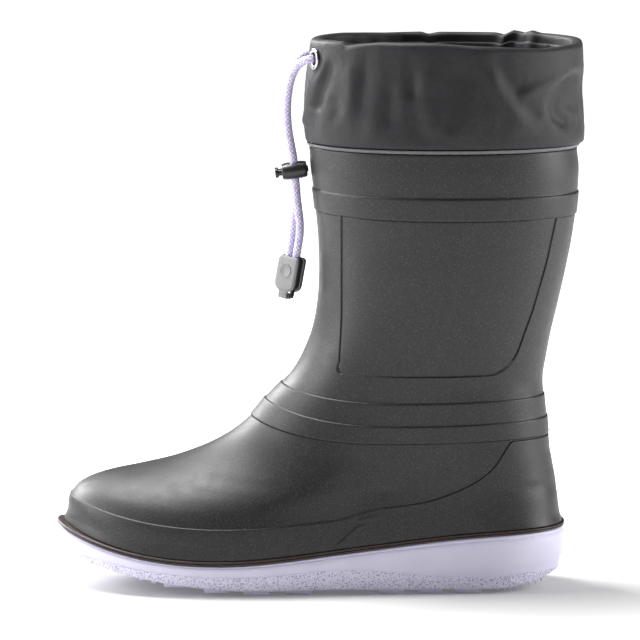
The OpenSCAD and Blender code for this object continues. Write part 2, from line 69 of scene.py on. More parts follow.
# ---------------------------------------------------------------- the boot's form
# level, front x, front z, back x, side dip, half widths at ball, waist and heel,
# end of the front rounding, start of the back rounding, roundness, toe swing, waist cut
STATIONS = np.array([
    [20, -138, 20, 128.5, 15.4, 47, 39.5, 36, 0.38, 0.83, 2.3, 8, 5],
    [34.5, -141.6, 34.2, 132, 15.4, 49, 41.2, 38.2, 0.38, 0.83, 2.3, 8, 5],
    [40, -138.6, 40.3, 130.6, 14.4, 49.2, 41.4, 38.4, 0.38, 0.82, 2.3, 8, 4.5],
    [50, -135.3, 49.6, 129.3, 12.4, 48.6, 41, 38.2, 0.38, 0.8, 2.3, 8, 4],
    [53, -129.8, 55.4, 128.9, 10, 47.2, 40.8, 38.2, 0.38, 0.8, 2.2, 8, 3.5],
    [57, -116.5, 60.8, 128.4, 8.5, 45.5, 40.4, 38.2, 0.38, 0.79, 2.1, 7.5, 3],
    [61, -97.5, 64.9, 127.8, 7, 43.6, 40, 38.2, 0.38, 0.78, 2.1, 7, 3],
    [65, -79.5, 69.3, 127, 6, 42, 40, 38.4, 0.38, 0.76, 2.1, 6, 2.5],
    [70, -61.5, 76, 126.1, 4.5, 41, 40, 38.6, 0.4, 0.74, 2.1, 5, 2],
    [76, -47.5, 83.8, 125, 3, 40.5, 40.5, 39, 0.42, 0.72, 2.1, 4, 1.5],
    [84, -37, 92.8, 124.4, 2, 40.8, 41, 39.5, 0.44, 0.68, 2.1, 2.5, 1],
    [94, -28.8, 102.8, 123.6, 2, 41.2, 41.5, 40.5, 0.46, 0.64, 2.1, 1.5, 0.5],
    [106, -20.4, 111.6, 122.5, 1.5, 41.8, 42, 41.5, 0.48, 0.6, 2.1, 1, 0],
    [115, -14.6, 118, 122.1, 1, 42.6, 42.6, 42.3, 0.49, 0.56, 2.1, 0, 0],
    [126, -9.2, 127.5, 123.8, 0, 43.8, 43.8, 43.8, 0.5, 0.54, 2.1, 0, 0],
    [140, -4.1, 140.5, 126.4, 0, 45.5, 45.5, 45.5, 0.5, 0.52, 2.1, 0, 0],
    [155, -1.2, 155.5, 129.9, 0, 47.2, 47.2, 47.2, 0.5, 0.51, 2.1, 0, 0],
    [172, -0.2, 172.5, 133.7, 0, 49, 49, 49, 0.5, 0.5, 2.15, 0, 0],
    [190, -0.7, 191, 137.2, 0, 50.5, 50.5, 50.5, 0.5, 0.5, 2.15, 0, 0],
    [205, -2.1, 207, 139.3, 0, 51.6, 51.6, 51.6, 0.5, 0.5, 2.2, 0, 0],
    [217, -3.4, 218.5, 140.4, 0, 52.3, 52.3, 52.3, 0.5, 0.5, 2.2, 0, 0],
    [230, -4.9, 230.7, 141, 0, 52.8, 52.8, 52.8, 0.5, 0.5, 2.2, 0, 0],
    [242, -5.8, 242.5, 140.2, 0, 53, 53, 53, 0.5, 0.5, 2.2, 0, 0],
    [244, -7.4, 244.5, 143.5, 0, 54.6, 54.6, 54.6, 0.5, 0.5, 2.2, 0, 0],
    [258, -8.2, 258.5, 143.1, 0, 55.6, 55.6, 55.6, 0.5, 0.5, 2.2, 0, 0],
    [272, -7.8, 272.5, 142.4, 0, 55.2, 55.2, 55.2, 0.5, 0.5, 2.2, 0, 0],
    [286, -6.1, 286.4, 143, 0, 54.6, 54.6, 54.6, 0.5, 0.5, 2.2, 0, 0],
    [300, -4.5, 301, 142.5, 0, 54, 54, 54, 0.5, 0.5, 2.2, 0, 0]])


def ease(t):
    t = np.clip(t, 0, 1)
    return t * t * (3 - 2 * t)


def mix(a, b, t):
    return a + (b - a) * t


def station(level):
    """The smooth curve through the stations at each level."""
    keys = STATIONS[:, 0]
    i = np.clip(np.searchsorted(keys, level, side="right") - 1, 0, len(keys) - 2)
    low, high = np.maximum(np.arange(len(keys)) - 1, 0), np.arange(len(keys)) + 1
    high = np.minimum(high, len(keys) - 1)
    slope = (STATIONS[high] - STATIONS[low]) / (keys[high] - keys[low])[:, None]
    d = (keys[i + 1] - keys[i])[..., None]
    t = (level[..., None] - keys[i][..., None]) / d
    q, r = t * t, t * t * t
    return ((2 * r - 3 * q + 1) * STATIONS[i] + (3 * q - 2 * r) * STATIONS[i + 1]
            + (r - 2 * q + t) * d * slope[i] + (r - q) * d * slope[i + 1])


def along(turn):
    """How far along the boot a turn lies: 0 at the front, 1 at the back."""
    return (1 - np.cos(np.radians(turn))) / 2


def dip(u):
    return 7.75 * u * (1 - u) ** 2.3


def form(turn, level):
    """A point of the outer form in millimetres. Turn 0 is the front, 90 the outer side."""
    turn, level = np.broadcast_arrays(np.asarray(turn, float), np.asarray(level, float))
    s, u = station(level), along(turn)
    inner = (turn > 180) | (turn < 0)
    front = np.clip(1 - u / s[..., 8], 0, 1) ** s[..., 10]
    back = np.clip((u - s[..., 9]) / (1 - s[..., 9]), 0, 1) ** s[..., 10]
    ends = np.clip(1 - front, 0, 1) ** (1 / s[..., 10])
    ends = ends * np.clip(1 - back, 0, 1) ** (1 / s[..., 10])
    ball, waist, heel = s[..., 5], s[..., 6], s[..., 7]
    wide = ball + (waist - ball) * ease((u - 0.33) / 0.27)
    wide = (wide + (heel - waist) * ease((u - 0.6) / 0.25)) * ends
    cut = s[..., 12] * np.exp(-((u - 0.58) / 0.15) ** 2)
    y = np.where(inner, wide - cut, -wide) + s[..., 11] * np.clip(1 - u / 0.38, 0, 1) ** 2
    z = s[..., 0] + (s[..., 2] - s[..., 0]) * (1 - u) ** 5 - s[..., 4] * dip(u)
    return np.stack([mix(s[..., 1], s[..., 3], u), y, z], -1)


def skin(turn, level, out=0.0):
    """The outer form moved outwards along its normal, in millimetres."""
    turn, level, out = np.broadcast_arrays(*[np.asarray(a, float) for a in (turn, level, out)])
    run = form(turn + 1, level) - form(turn - 1, level)
    rise = form(turn, level + 0.6) - form(turn, level - 0.6)
    normal = np.cross(run, rise)
    normal[..., 2] *= ease((level - 37) / 6) * (1 - ease((level - 125) / 25))
    normal /= np.linalg.norm(normal, axis=-1, keepdims=True)
    return form(turn, level) + out[..., None] * normal


def table(x, pairs):
    """Straight-line reading of a short table of (place, value)."""
    return np.interp(x, [p[0] for p in pairs], [p[1] for p in pairs])


# ---------------------------------------------------------------- modelling
def deselect():
    if bpy.context.object and bpy.context.object.mode != "OBJECT":
        bpy.ops.object.mode_set(mode="OBJECT")
    bpy.ops.object.select_all(action="DESELECT")


def pick(*pieces):
    deselect()
    for piece in pieces:
        piece.select_set(True)
    bpy.context.view_layer.objects.active = pieces[-1]


def settle(piece):
    """Keep the piece's place in its mesh and its object at the origin."""
    pick(piece)
    bpy.ops.object.transform_apply(location=True, rotation=True, scale=True)


def smooth(piece, angle=35):
    pick(piece)
    bpy.ops.object.shade_smooth_by_angle(angle=math.radians(angle))


def apply_all(piece):
    pick(piece)
    for modifier in list(piece.modifiers):
        bpy.ops.object.modifier_apply(modifier=modifier.name)


def lofted(name, rings, joined=False, marks=None, angle=35):
    """Skin a sheet over rings of points given in millimetres, closed round each ring.

    joined also closes the last ring onto the first. marks are numbers per point that the
    finishes read, and the flat map is laid out in metres.
    """
    rings = np.asarray(rings, float)
    if joined:
        rings = np.concatenate([rings, rings[:1]])
    rows, columns = rings.shape[:2]
    deselect()
    bpy.ops.mesh.primitive_grid_add(x_subdivisions=columns, y_subdivisions=rows - 1, size=1)
    piece = bpy.context.object
    piece.name = name
    points = np.concatenate([rings, rings[:, :1]], axis=1) * MM
    piece.data.vertices.foreach_set("co", points.reshape(-1))
    for mark, values in (marks or {}).items():
        values = np.asarray(values, float)
        if joined:
            values = np.concatenate([values, values[:1]])
        values = np.concatenate([values, values[:, :1]], axis=1)
        layer = piece.data.attributes.new(mark, "FLOAT", "POINT")
        layer.data.foreach_set("value", values.reshape(-1))
    way_round = np.linalg.norm(np.diff(points, axis=1), axis=2).sum(1).max()
    way_up = np.linalg.norm(np.diff(points, axis=0), axis=2).sum(0).max()
    flat = np.empty(len(piece.data.loops) * 2)
    piece.data.uv_layers.active.data.foreach_get("uv", flat)
    flat = flat.reshape(-1, 2) * (way_round, way_up)
    piece.data.uv_layers.active.data.foreach_set("uv", flat.reshape(-1))
    bpy.ops.object.mode_set(mode="EDIT")
    bpy.ops.mesh.select_all(action="SELECT")
    bpy.ops.mesh.remove_doubles(threshold=2e-6)
    bpy.ops.object.mode_set(mode="OBJECT")
    smooth(piece, angle)
    return piece


def zipped(ring):
    """The middle line of a ring, where its two sides meet. Ring points come in mirrored pairs."""
    other = np.concatenate([ring[:1], ring[:0:-1]])
    return (ring + other) / 2


def floor_of(ring, steps=3):
    """Rings that close a ring like a hull, down to its middle line."""
    return [mix(ring, zipped(ring), k / steps) for k in range(1, steps + 1)]


def both_sides(half):
    """Turns for a whole ring from the turns between front and back of one side."""
    half = np.asarray(half, float)
    return np.concatenate([[0], half, [180], 360 - half[::-1]])


def even(count):
    return both_sides(np.linspace(0, 180, count // 2 + 1)[1:-1])


def boxed(name, low, high):
    """A block between two corners given in millimetres."""
    low, high = np.array(low, float), np.array(high, float)
    deselect()
    bpy.ops.mesh.primitive_cube_add(size=1, location=Vector((low + high) / 2 * MM),
                                    scale=Vector((high - low) * MM))
    piece = bpy.context.object
    piece.name = name
    settle(piece)
    return piece


def cylinder(name, radius, depth, place=(0, 0, 0), turned=(0, 0, 0), sides=40):
    """A round bar about its middle, in millimetres."""
    deselect()
    bpy.ops.mesh.primitive_cylinder_add(vertices=sides, radius=radius * MM, depth=depth * MM,
                                        location=Vector(place) * MM, rotation=turned)
    bar = bpy.context.object
    bar.name = name
    settle(bar)
    return bar


def choose(piece, mode, test):
    """Select the parts of a mesh that pass a test, ready for an edit-mode operator."""
    pick(piece)
    bpy.ops.object.mode_set(mode="EDIT")
    bpy.ops.mesh.select_mode(type=mode)
    bpy.ops.mesh.select_all(action="DESELECT")
    bpy.ops.object.mode_set(mode="OBJECT")
    mesh = piece.data
    if mode == "EDGE":
        for edge in mesh.edges:
            a, b = (mesh.vertices[k].co / MM for k in edge.vertices)
            edge.select = test(a, b)
    else:
        for face in mesh.polygons:
            face.select = test(face.normal)
    bpy.ops.object.mode_set(mode="EDIT")


def round_edges(piece, radius, segments, test):
    choose(piece, "EDGE", test)
    bpy.ops.mesh.bevel(offset=radius * MM, segments=segments, profile=0.5)
    bpy.ops.object.mode_set(mode="OBJECT")


def step_faces(piece, margin, move, test):
    """Inset faces by a margin and move what lies inside it."""
    choose(piece, "FACE", test)
    bpy.ops.mesh.inset(thickness=margin * MM)
    bpy.ops.transform.translate(value=Vector(move) * MM)
    bpy.ops.object.mode_set(mode="OBJECT")


def bevelled(piece, width, segments=3, angle=30):
    """Round the sharp edges of a piece by a width in millimetres."""
    soft = piece.modifiers.new("soft_edges", "BEVEL")
    soft.width = width * MM
    soft.segments = segments
    soft.limit_method = "ANGLE"
    soft.angle_limit = math.radians(angle)
    soft.use_clamp_overlap = True
    apply_all(piece)
    return piece


def cut_away(piece, *cutters):
    """Cut the cutters out of a piece and clear them away."""
    for cutter in cutters:
        cut = piece.modifiers.new("cut", "BOOLEAN")
        cut.operation = "DIFFERENCE"
        cut.object = cutter
        cut.solver = "EXACT"
        apply_all(piece)
        bpy.data.objects.remove(cutter, do_unlink=True)
    return piece


def join(name, *pieces):
    pick(*pieces)
    bpy.ops.object.join()
    whole = bpy.context.object
    whole.name = name
    return whole


def put(piece, place):
    """Move a piece from its own axes to its place on the boot."""
    piece.matrix_world = place @ piece.matrix_world
    settle(piece)


def dress(piece, body, finish, *nodes):
    """Give a piece its finish, let it ride on its body and stand for its plain solids."""
    piece.data.materials.clear()
    piece.data.materials.append(finish)
    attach(piece, body)
    if nodes:
        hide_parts(*nodes)


class Finish:
    """A node material with a few short ways to add patterns."""

    def __init__(self, name, slot, roughness, **sockets):
        self.material = bpy.data.materials.new(name)
        self.material.use_nodes = True
        self.nodes = self.material.node_tree.nodes
        self.links = self.material.node_tree.links
        self.surface = self.nodes["Principled BSDF"]
        self.surface.inputs["Roughness"].default_value = roughness
        for socket, value in sockets.items():
            self.surface.inputs[socket.replace("_", " ")].default_value = value

    def node(self, kind, **settings):
        made = self.nodes.new(kind)
        for key, value in settings.items():
            setattr(made, key, value)
        return made

    def coordinates(self, source="Object", scale=(1, 1, 1), turn=0.0):
        where = self.node("ShaderNodeTexCoord")
        mapping = self.node("ShaderNodeMapping")
        mapping.inputs["Scale"].default_value = scale
        mapping.inputs["Rotation"].default_value = (0, 0, math.radians(turn))
        self.links.new(where.outputs[source], mapping.inputs["Vector"])
        return mapping.outputs["Vector"]

    def noise(self, vector, scale, detail=2.0, rough=0.5):
        made = self.node("ShaderNodeTexNoise")
        made.inputs["Scale"].default_value = scale
        made.inputs["Detail"].default_value = detail
        made.inputs["Roughness"].default_value = rough
        self.links.new(vector, made.inputs["Vector"])
        return made.outputs["Fac"]

    def cells(self, vector, scale, feature="F1"):
        made = self.node("ShaderNodeTexVoronoi", feature=feature)
        made.inputs["Scale"].default_value = scale
        self.links.new(vector, made.inputs["Vector"])
        return made.outputs["Distance"]

    def stripes(self, vector, scale, direction="X", distortion=0.0):
        made = self.node("ShaderNodeTexWave", bands_direction=direction)
        made.inputs["Scale"].default_value = scale
        made.inputs["Distortion"].default_value = distortion
        self.links.new(vector, made.inputs["Vector"])
        return made.outputs["Fac"]

    def mark(self, name):
        return self.node("ShaderNodeAttribute", attribute_name=name).outputs["Fac"]

    def sum(self, a, b, operation="ADD"):
        made = self.node("ShaderNodeMath", operation=operation)
        for socket, value in zip(made.inputs, (a, b)):
            if isinstance(value, (int, float)):
                socket.default_value = value
            else:
                self.links.new(value, socket)
        return made.outputs[0]

    def ramp(self, factor, *stops):
        made = self.node("ShaderNodeValToRGB")
        stripe = made.color_ramp.elements
        while len(stripe) < len(stops):
            stripe.new(0.5)
        for element, (place, colour) in zip(stripe, stops):
            element.position = place
            element.color = (*colour, 1) if len(colour) == 3 else colour
        self.links.new(factor, made.inputs["Fac"])
        return made.outputs["Color"]

    def blend(self, factor, a, b):
        made = self.node("ShaderNodeMix", data_type="RGBA")
        self.links.new(factor, made.inputs["Factor"])
        for socket, value in ((6, a), (7, b)):
            if isinstance(value, tuple):
                made.inputs[socket].default_value = (*value, 1)
            else:
                self.links.new(value, made.inputs[socket])
        return made.outputs[2]

    def colour(self, value):
        self.links.new(value, self.surface.inputs["Base Color"])

    def roughness(self, value, low, high):
        made = self.node("ShaderNodeMapRange")
        made.inputs["To Min"].default_value = low
        made.inputs["To Max"].default_value = high
        self.links.new(value, made.inputs["Value"])
        self.links.new(made.outputs["Result"], self.surface.inputs["Roughness"])

    def relief(self, height, depth, strength=1.0):
        """Bump of a depth in millimetres."""
        made = self.node("ShaderNodeBump")
        made.inputs["Distance"].default_value = depth * MM
        made.inputs["Strength"].default_value = strength
        self.links.new(height, made.inputs["Height"])
        before = self.surface.inputs["Normal"].links
        if before:
            self.links.new(before[0].from_socket, made.inputs["Normal"])
        self.links.new(made.outputs["Normal"], self.surface.inputs["Normal"])


def graphite_rubber():
    """Moulded grey rubber with a fine pearl fleck."""
    f = Finish("graphite_rubber", "upper_rubber", 0.45, Specular_IOR_Level=0.42)
    at = f.coordinates()
    grain = f.noise(at, 1100, 3, 0.6)
    fleck = f.cells(at, 900)
    base = f.ramp(grain, (0.3, (0.006, 0.006, 0.007)), (0.7, (0.019, 0.018, 0.020)))
    light = f.ramp(fleck, (0.10, (0.11, 0.105, 0.11)), (0.24, (0.0, 0.0, 0.0)))
    made = f.node("ShaderNodeMix", data_type="RGBA", blend_type="ADD")
    made.inputs["Factor"].default_value = 0.55
    f.links.new(base, made.inputs[6])
    f.links.new(light, made.inputs[7])
    f.colour(made.outputs[2])
    f.roughness(f.noise(at, 160, 3), 0.40, 0.56)
    f.relief(grain, 0.10, 0.55)
    return f.material


def lavender_rubber():
    """Pale sole rubber, smooth above and finely stippled where it is marked; the stipple's low grooves
    and pits carry painted shade.
    """
    f = Finish("lavender_rubber", "sole_rubber", 0.5, Specular_IOR_Level=0.45)
    at = f.coordinates()
    stipple = f.mark("stipple")
    worm = f.cells(at, 620, "DISTANCE_TO_EDGE")
    cloud = f.noise(at, 60, 2)
    plain = f.ramp(cloud, (0.3, (0.62, 0.60, 0.75)), (0.7, (0.66, 0.64, 0.78)))
    # dark purple dots at random points: painted shade standing for the specks in the stipple's pits
    pit_shade_dots = f.ramp(f.cells(at, 860), (0.24, (0.30, 0.25, 0.44)), (0.40, (1.0, 1.0, 1.0)))
    shaded_stipple = f.node("ShaderNodeMix", data_type="RGBA", blend_type="MULTIPLY")
    shaded_stipple.inputs["Factor"].default_value = 0.9
    # the worm colour darkens towards the cell edges, where the relief sinks: painted shade in the
    # grooves
    f.links.new(f.ramp(worm, (0.05, (0.68, 0.65, 0.80)), (0.4, (0.74, 0.72, 0.85))),
                shaded_stipple.inputs[6])
    f.links.new(pit_shade_dots, shaded_stipple.inputs[7])
    rough = shaded_stipple.outputs[2]
    f.colour(f.blend(stipple, plain, rough))
    f.relief(f.sum(worm, stipple, "MULTIPLY"), 0.5, 0.8)
    f.relief(f.noise(at, 900, 2), 0.05, 0.4)
    return f.material


def brown_rubber():
    f = Finish("brown_rubber", "welt_rubber", 0.42, Specular_IOR_Level=0.45)
    at = f.coordinates()
    f.colour(f.ramp(f.noise(at, 500, 3), (0.3, (0.026, 0.017, 0.015)), (0.7, (0.052, 0.036, 0.033))))
    f.relief(f.noise(at, 1200, 2), 0.05, 0.5)
    return f.material


def nylon(name, slot, dark, light, pitch=1.05):
    """Coated nylon with a fine diagonal weave, laid out on the cloth's flat map."""
    f = Finish(name, slot, 0.5, Specular_IOR_Level=0.34, Sheen_Weight=0.03, Sheen_Roughness=0.4)
    at = f.coordinates("UV")
    lines = 1 / (pitch * MM) * 2 * math.pi / 20
    one = f.stripes(f.coordinates("UV", turn=38), lines)
    two = f.stripes(f.coordinates("UV", turn=-38), lines)
    weave = f.sum(one, two, "MULTIPLY")
    slub = f.noise(at, 420, 3)
    tone = f.sum(f.sum(weave, 0.75, "MULTIPLY"), f.sum(slub, 0.5, "MULTIPLY"))
    f.colour(f.ramp(tone, (0.15, dark), (0.85, light)))
    f.roughness(f.noise(at, 30, 2), 0.42, 0.6)
    f.relief(weave, 0.16, 0.7)
    f.relief(f.noise(at, 45, 4), 0.5, 0.35)
    return f.material


def felt(name, slot, dark, light):
    f = Finish(name, slot, 0.95, Specular_IOR_Level=0.2, Sheen_Weight=0.4)
    at = f.coordinates()
    fibre = f.noise(at, 700, 5, 0.7)
    f.colour(f.ramp(fibre, (0.3, dark), (0.75, light)))
    f.relief(fibre, 0.5, 0.8)
    return f.material


def braid():
    """Pale braided yarn with purple tracer threads between the pale ones, and dark purple painted shade
    in the sunk gaps between yarns.
    """
    f = Finish("lavender_braid", "cord", 0.72, Specular_IOR_Level=0.3, Sheen_Weight=0.3)
    at = f.coordinates()
    crown, tracer = f.mark("crown"), f.mark("tracer")
    fibre = f.noise(at, 2600, 2)
    pale = f.ramp(fibre, (0.3, (0.60, 0.56, 0.74)), (0.7, (0.76, 0.73, 0.86)))
    purple = f.ramp(fibre, (0.3, (0.50, 0.43, 0.66)), (0.7, (0.62, 0.56, 0.76)))
    yarn = f.blend(tracer, pale, purple)
    # dark purple where the crown mark is low, in the sunk gaps between yarns: painted shade
    f.colour(f.blend(crown, (0.26, 0.18, 0.42), yarn))
    f.relief(fibre, 0.08, 0.6)
    return f.material


def plated(name, slot, colour, roughness):
    f = Finish(name, slot, roughness, Metallic=1.0)
    at = f.coordinates()
    haze = f.noise(at, 300, 4)
    tint = tuple(c * 0.86 for c in colour)
    f.colour(f.ramp(haze, (0.3, tint), (0.7, colour)))
    f.roughness(haze, roughness * 0.7, roughness * 1.5)
    f.relief(f.noise(at, 900, 3), 0.02, 0.4)
    return f.material


def moulded(name, slot, dark, light, roughness):
    f = Finish(name, slot, roughness, Specular_IOR_Level=0.5)
    at = f.coordinates()
    grain = f.noise(at, 1500, 3)
    f.colour(f.ramp(grain, (0.3, dark), (0.7, light)))
    f.roughness(f.noise(at, 400, 2), roughness * 0.8, roughness * 1.2)
    f.relief(grain, 0.05, 0.6)
    return f.material


GRAPHITE = graphite_rubber()
LAVENDER = lavender_rubber()
BROWN = brown_rubber()
COLLAR_NYLON = nylon("collar_nylon", "nylon", (0.002, 0.002, 0.003), (0.024, 0.024, 0.027))
LINING_NYLON = nylon("lining_nylon", "nylon_lining", (0.006, 0.006, 0.008), (0.05, 0.05, 0.055))
PIPING = nylon("piping_tape", "piping", (0.05, 0.05, 0.055), (0.22, 0.22, 0.23), 0.7)
GREY_FELT = felt("grey_felt", "felt", (0.10, 0.10, 0.105), (0.24, 0.24, 0.25))
DARK_FELT = felt("dark_felt", "footbed_felt", (0.05, 0.05, 0.055), (0.12, 0.12, 0.13))
FIBRE_BOARD = felt("fibre_board", "board", (0.30, 0.24, 0.16), (0.46, 0.38, 0.27))
BRAID = braid()
NICKEL = plated("polished_nickel", "nickel", (0.46, 0.46, 0.48), 0.2)
SPRING_STEEL = plated("spring_steel_wire", "spring_steel", (0.58, 0.58, 0.60), 0.3)
LOCK_BLACK = moulded("lock_black", "lock_plastic", (0.006, 0.006, 0.007), (0.02, 0.02, 0.022), 0.36)
END_BLACK = moulded("end_black", "end_plastic", (0.008, 0.008, 0.009), (0.026, 0.026, 0.028), 0.4)
# grey of the cord end's trim and cover; on the cover it stands for the light its front catches: painted
# highlight
END_GREY = moulded("end_grey", "end_cover_rubber", (0.15, 0.15, 0.155), (0.21, 0.21, 0.215), 0.5)


# ---------------------------------------------------------------- drawcord
LEAN, CORD_Y, CORD, YARN_SINK = math.radians(5), 2.45, 4.6, 0.34
EYE_X, EYE_SIDE, EYE_Z = -2.25, 19.0, 289.5
EYE_TURN = math.radians(22.6)
LOCK_AT = np.array([-13.5, 0, 227.4])
DOWN = np.array([math.sin(LEAN), 0, -math.cos(LEAN)])
OUT = np.array([-math.cos(EYE_TURN), -math.sin(EYE_TURN), 0])
EYE = np.array([EYE_X, -EYE_SIDE, EYE_Z])
FAR = np.array([1, -1, 1])


def leg_route():
    side = np.array([0, CORD_Y, 0])
    straight = [LOCK_AT + k * DOWN - side for k in (-5, 6, 13)]
    return np.array([EYE + 1.4 * OUT, EYE + 3.4 * OUT + (0, 0.5, -0.1),
                     (-8.4, -17.6, 288.3), (-12.4, -14, 284.6), (-15.4, -10.2, 277.5),
                     (-17.1, -7, 268), (-17.5, -4.6, 258), (-16.7, -3, 248.5),
                     (-15.2, -CORD_Y, 240), *straight])


NEAR_ROUTE = np.array([*leg_route(), (-11.3, -2.45, 206), (-10.5, -2.45, 198.5),
                       (-10.7, -2.35, 191.5), (-11.6, -2.1, 185.8), (-12.4, -1.6, 180.6),
                       (-12.9, -1.6, 177.4)])
FAR_ROUTE = np.array([*(leg_route() * FAR), (-12.8, 2.45, 206), (-13.8, 2.45, 198.5),
                      (-14.6, 2.35, 191.5), (-15.5, 2.1, 185.8), (-16.2, 1.6, 180.6),
                      (-16.6, 1.6, 178.1)])


def smooth_route(points, step):
    """A smooth curve through the points, with a point every step millimetres."""
    p = np.concatenate([[2 * points[0] - points[1]], points, [2 * points[-1] - points[-2]]])
    t = np.linspace(0, 1, 24, endpoint=False)[:, None]
    run = [0.5 * (2 * b + (c - a) * t + (2 * a - 5 * b + 4 * c - d) * t ** 2
                  + (3 * b - a - 3 * c + d) * t ** 3)
           for a, b, c, d in zip(p, p[1:], p[2:], p[3:])]
    run = np.concatenate([*run, points[-1:]])
    gone = np.concatenate([[0], np.linalg.norm(np.diff(run, axis=0), axis=1).cumsum()])
    at = np.linspace(0, gone[-1], int(gone[-1] / step) + 1)
    return np.stack([np.interp(at, gone, run[:, k]) for k in range(3)], 1), gone[-1]


def braided(name, route, step=0.3, sides=48, strands=6):
    """A round braid: diamonds of yarn that cross over and under each other."""
    path, length = smooth_route(route, step)
    ahead = np.gradient(path, axis=0)
    ahead /= np.linalg.norm(ahead, axis=1, keepdims=True)
    across = np.cross(ahead[0], (0.1, 0.2, 1.0))
    rings, crowns, tracers = [], [], []
    turn = np.arange(sides) / sides
    pitch = math.pi * CORD / strands
    for i, (place, way) in enumerate(zip(path, ahead)):
        across = across - way * across.dot(way)
        across /= np.linalg.norm(across)
        other = np.cross(way, across)
        p, q = turn * strands + i * step / pitch, turn * strands - i * step / pitch
        over = (np.floor(p) + np.floor(q)) % 2 == 0
        a, b = np.sin(np.pi * (p % 1)), np.sin(np.pi * (q % 1))
        crown = np.where(over, a ** 0.7 * b ** 0.3, a ** 0.3 * b ** 0.7)
        radius = CORD / 2 - YARN_SINK * (1 - crown)
        angle = 2 * np.pi * turn
        rings.append(place + radius[:, None] * (np.cos(angle)[:, None] * across
                                                + np.sin(angle)[:, None] * other))
        # crown marks how proud the yarn stands; where it is low the braid finish paints shade
        crowns.append(np.clip(crown * 1.7 - 0.25, 0, 1))
        tracers.append(((np.floor(p) % 3 == 0) & over) * 1.0)
    # close both ends onto the centre line
    rings = [np.repeat(path[:1], sides, 0), *rings, np.repeat(path[-1:], sides, 0)]
    crowns, tracers = [crowns[0], *crowns, crowns[-1]], [tracers[0], *tracers, tracers[-1]]
    piece = lofted(name, rings, marks={"crown": crowns, "tracer": tracers}, angle=180)
    return piece, path, length


near_leg, near_path, near_length = braided("drawcord_near_leg_braid", NEAR_ROUTE)
far_leg, far_path, far_length = braided("drawcord_far_leg_braid", FAR_ROUTE)
dress(near_leg, CORDS, BRAID, "drawcord_near_leg")
dress(far_leg, CORDS, BRAID, "drawcord_far_leg")


# ---------------------------------------------------------------- moulded upper
PANEL_LEFT, PANEL_RIGHT = 40.0, 142.0
PANEL_BASE, PANEL_TOP = 119.8, 204.6
OVERLAY_LOW, OVERLAY_RISE = 49.9, 33.4


def turn_at(x, level):
    """The turn at which the form passes a place along the boot."""
    s = station(np.asarray(level, float))
    return np.degrees(np.arccos(np.clip(1 - 2 * (x - s[..., 1]) / (s[..., 3] - s[..., 1]), -1, 1)))


def panel_edges(level):
    """Turns of the front and back lines of the shaft panel."""
    high = np.clip(level, PANEL_BASE, PANEL_TOP)
    front = turn_at(table(high, [(119.8, 10.2), (150, 11.6)]), np.maximum(high, 126))
    back = turn_at(table(high, [(119.8, 102.5), (133.6, 108.2), (154.8, 115.8), (181.7, 123.3),
                                (204.6, 128.1)]), high)
    return front, back


def climb(u):
    """The overlay's edge, low along the foot and climbing over the heel."""
    return 0.09 * ease((u - 0.55) / 0.12) + 0.91 * np.clip((u - 0.6) / 0.308, 0, 1) ** 5


def warped(turn, level):
    """Shift evenly named columns so that two of them follow the panel's lines."""
    side = np.where(turn > 180, 360 - turn, turn)
    front, back = panel_edges(level)
    moved = np.interp(side, [0, PANEL_LEFT], [0, 1]) * front
    middle = (side - PANEL_LEFT) / (PANEL_RIGHT - PANEL_LEFT)
    moved = np.where(side > PANEL_LEFT, mix(front, back, middle), moved)
    last = (side - PANEL_RIGHT) / (180 - PANEL_RIGHT)
    moved = np.where(side > PANEL_RIGHT, mix(back, 180, last), moved)
    return np.where(turn > 180, 360 - moved, moved)


def shaft_columns():
    near = np.array([-1.3, -0.8, -0.45, -0.2, 0, 0.2, 0.45, 0.8, 1.3])
    plain = np.arange(1.3, 179.5, 1.35)
    keep = (abs(plain - PANEL_LEFT) > 1.7) & (abs(plain - PANEL_RIGHT) > 1.7)
    branch = np.arange(95.4, 103.5, 0.24)
    keep &= (plain < 95) | (plain > 104)
    return both_sides(np.sort(np.concatenate([plain[keep], PANEL_LEFT + near,
                                              PANEL_RIGHT + near, branch])))


def panel_depth(turn, level):
    """How deep the shaft panel lies below the shaft, with a thin line round it."""
    side = np.where(turn > 180, 360 - turn, turn)
    front, back = panel_edges(level)
    a = (side - front) * 1.05
    b = (back - side) * 1.05
    c = (level - PANEL_BASE) * 1.0
    def corner(p, q, r):
        inside = np.minimum(p, q)
        bend = r - np.hypot(np.maximum(r - p, 0), np.maximum(r - q, 0))
        return np.where((p < r) & (q < r), bend, inside)
    edge = np.minimum(corner(a, c, 6.0), corner(b, c, 13.0))
    return 0.6 * ease(edge / 0.5 + 0.5) + 0.2 * np.exp(-((edge - 0.3) / 0.3) ** 2)


def branch_ridge(points):
    """A thin ridge that leaves the overlay's edge and runs down to the welt."""
    x, z = points[..., 0], points[..., 2]
    line = table(z, [(27, 8.5), (29.5, 11.2), (34, 16.6), (38, 20.9), (41.5, 24.2), (45, 27.4)])
    across = (x - line) * 0.76
    low = ease((z - 27) / 2) * (1 - ease((z - 43.5) / 1.2))
    plate = ease(across / 0.8 + 0.5) * np.exp(-np.maximum(across, 0) / 7)
    return low * (0.42 * np.exp(-(across / 0.5) ** 2) + 0.22 * plate)


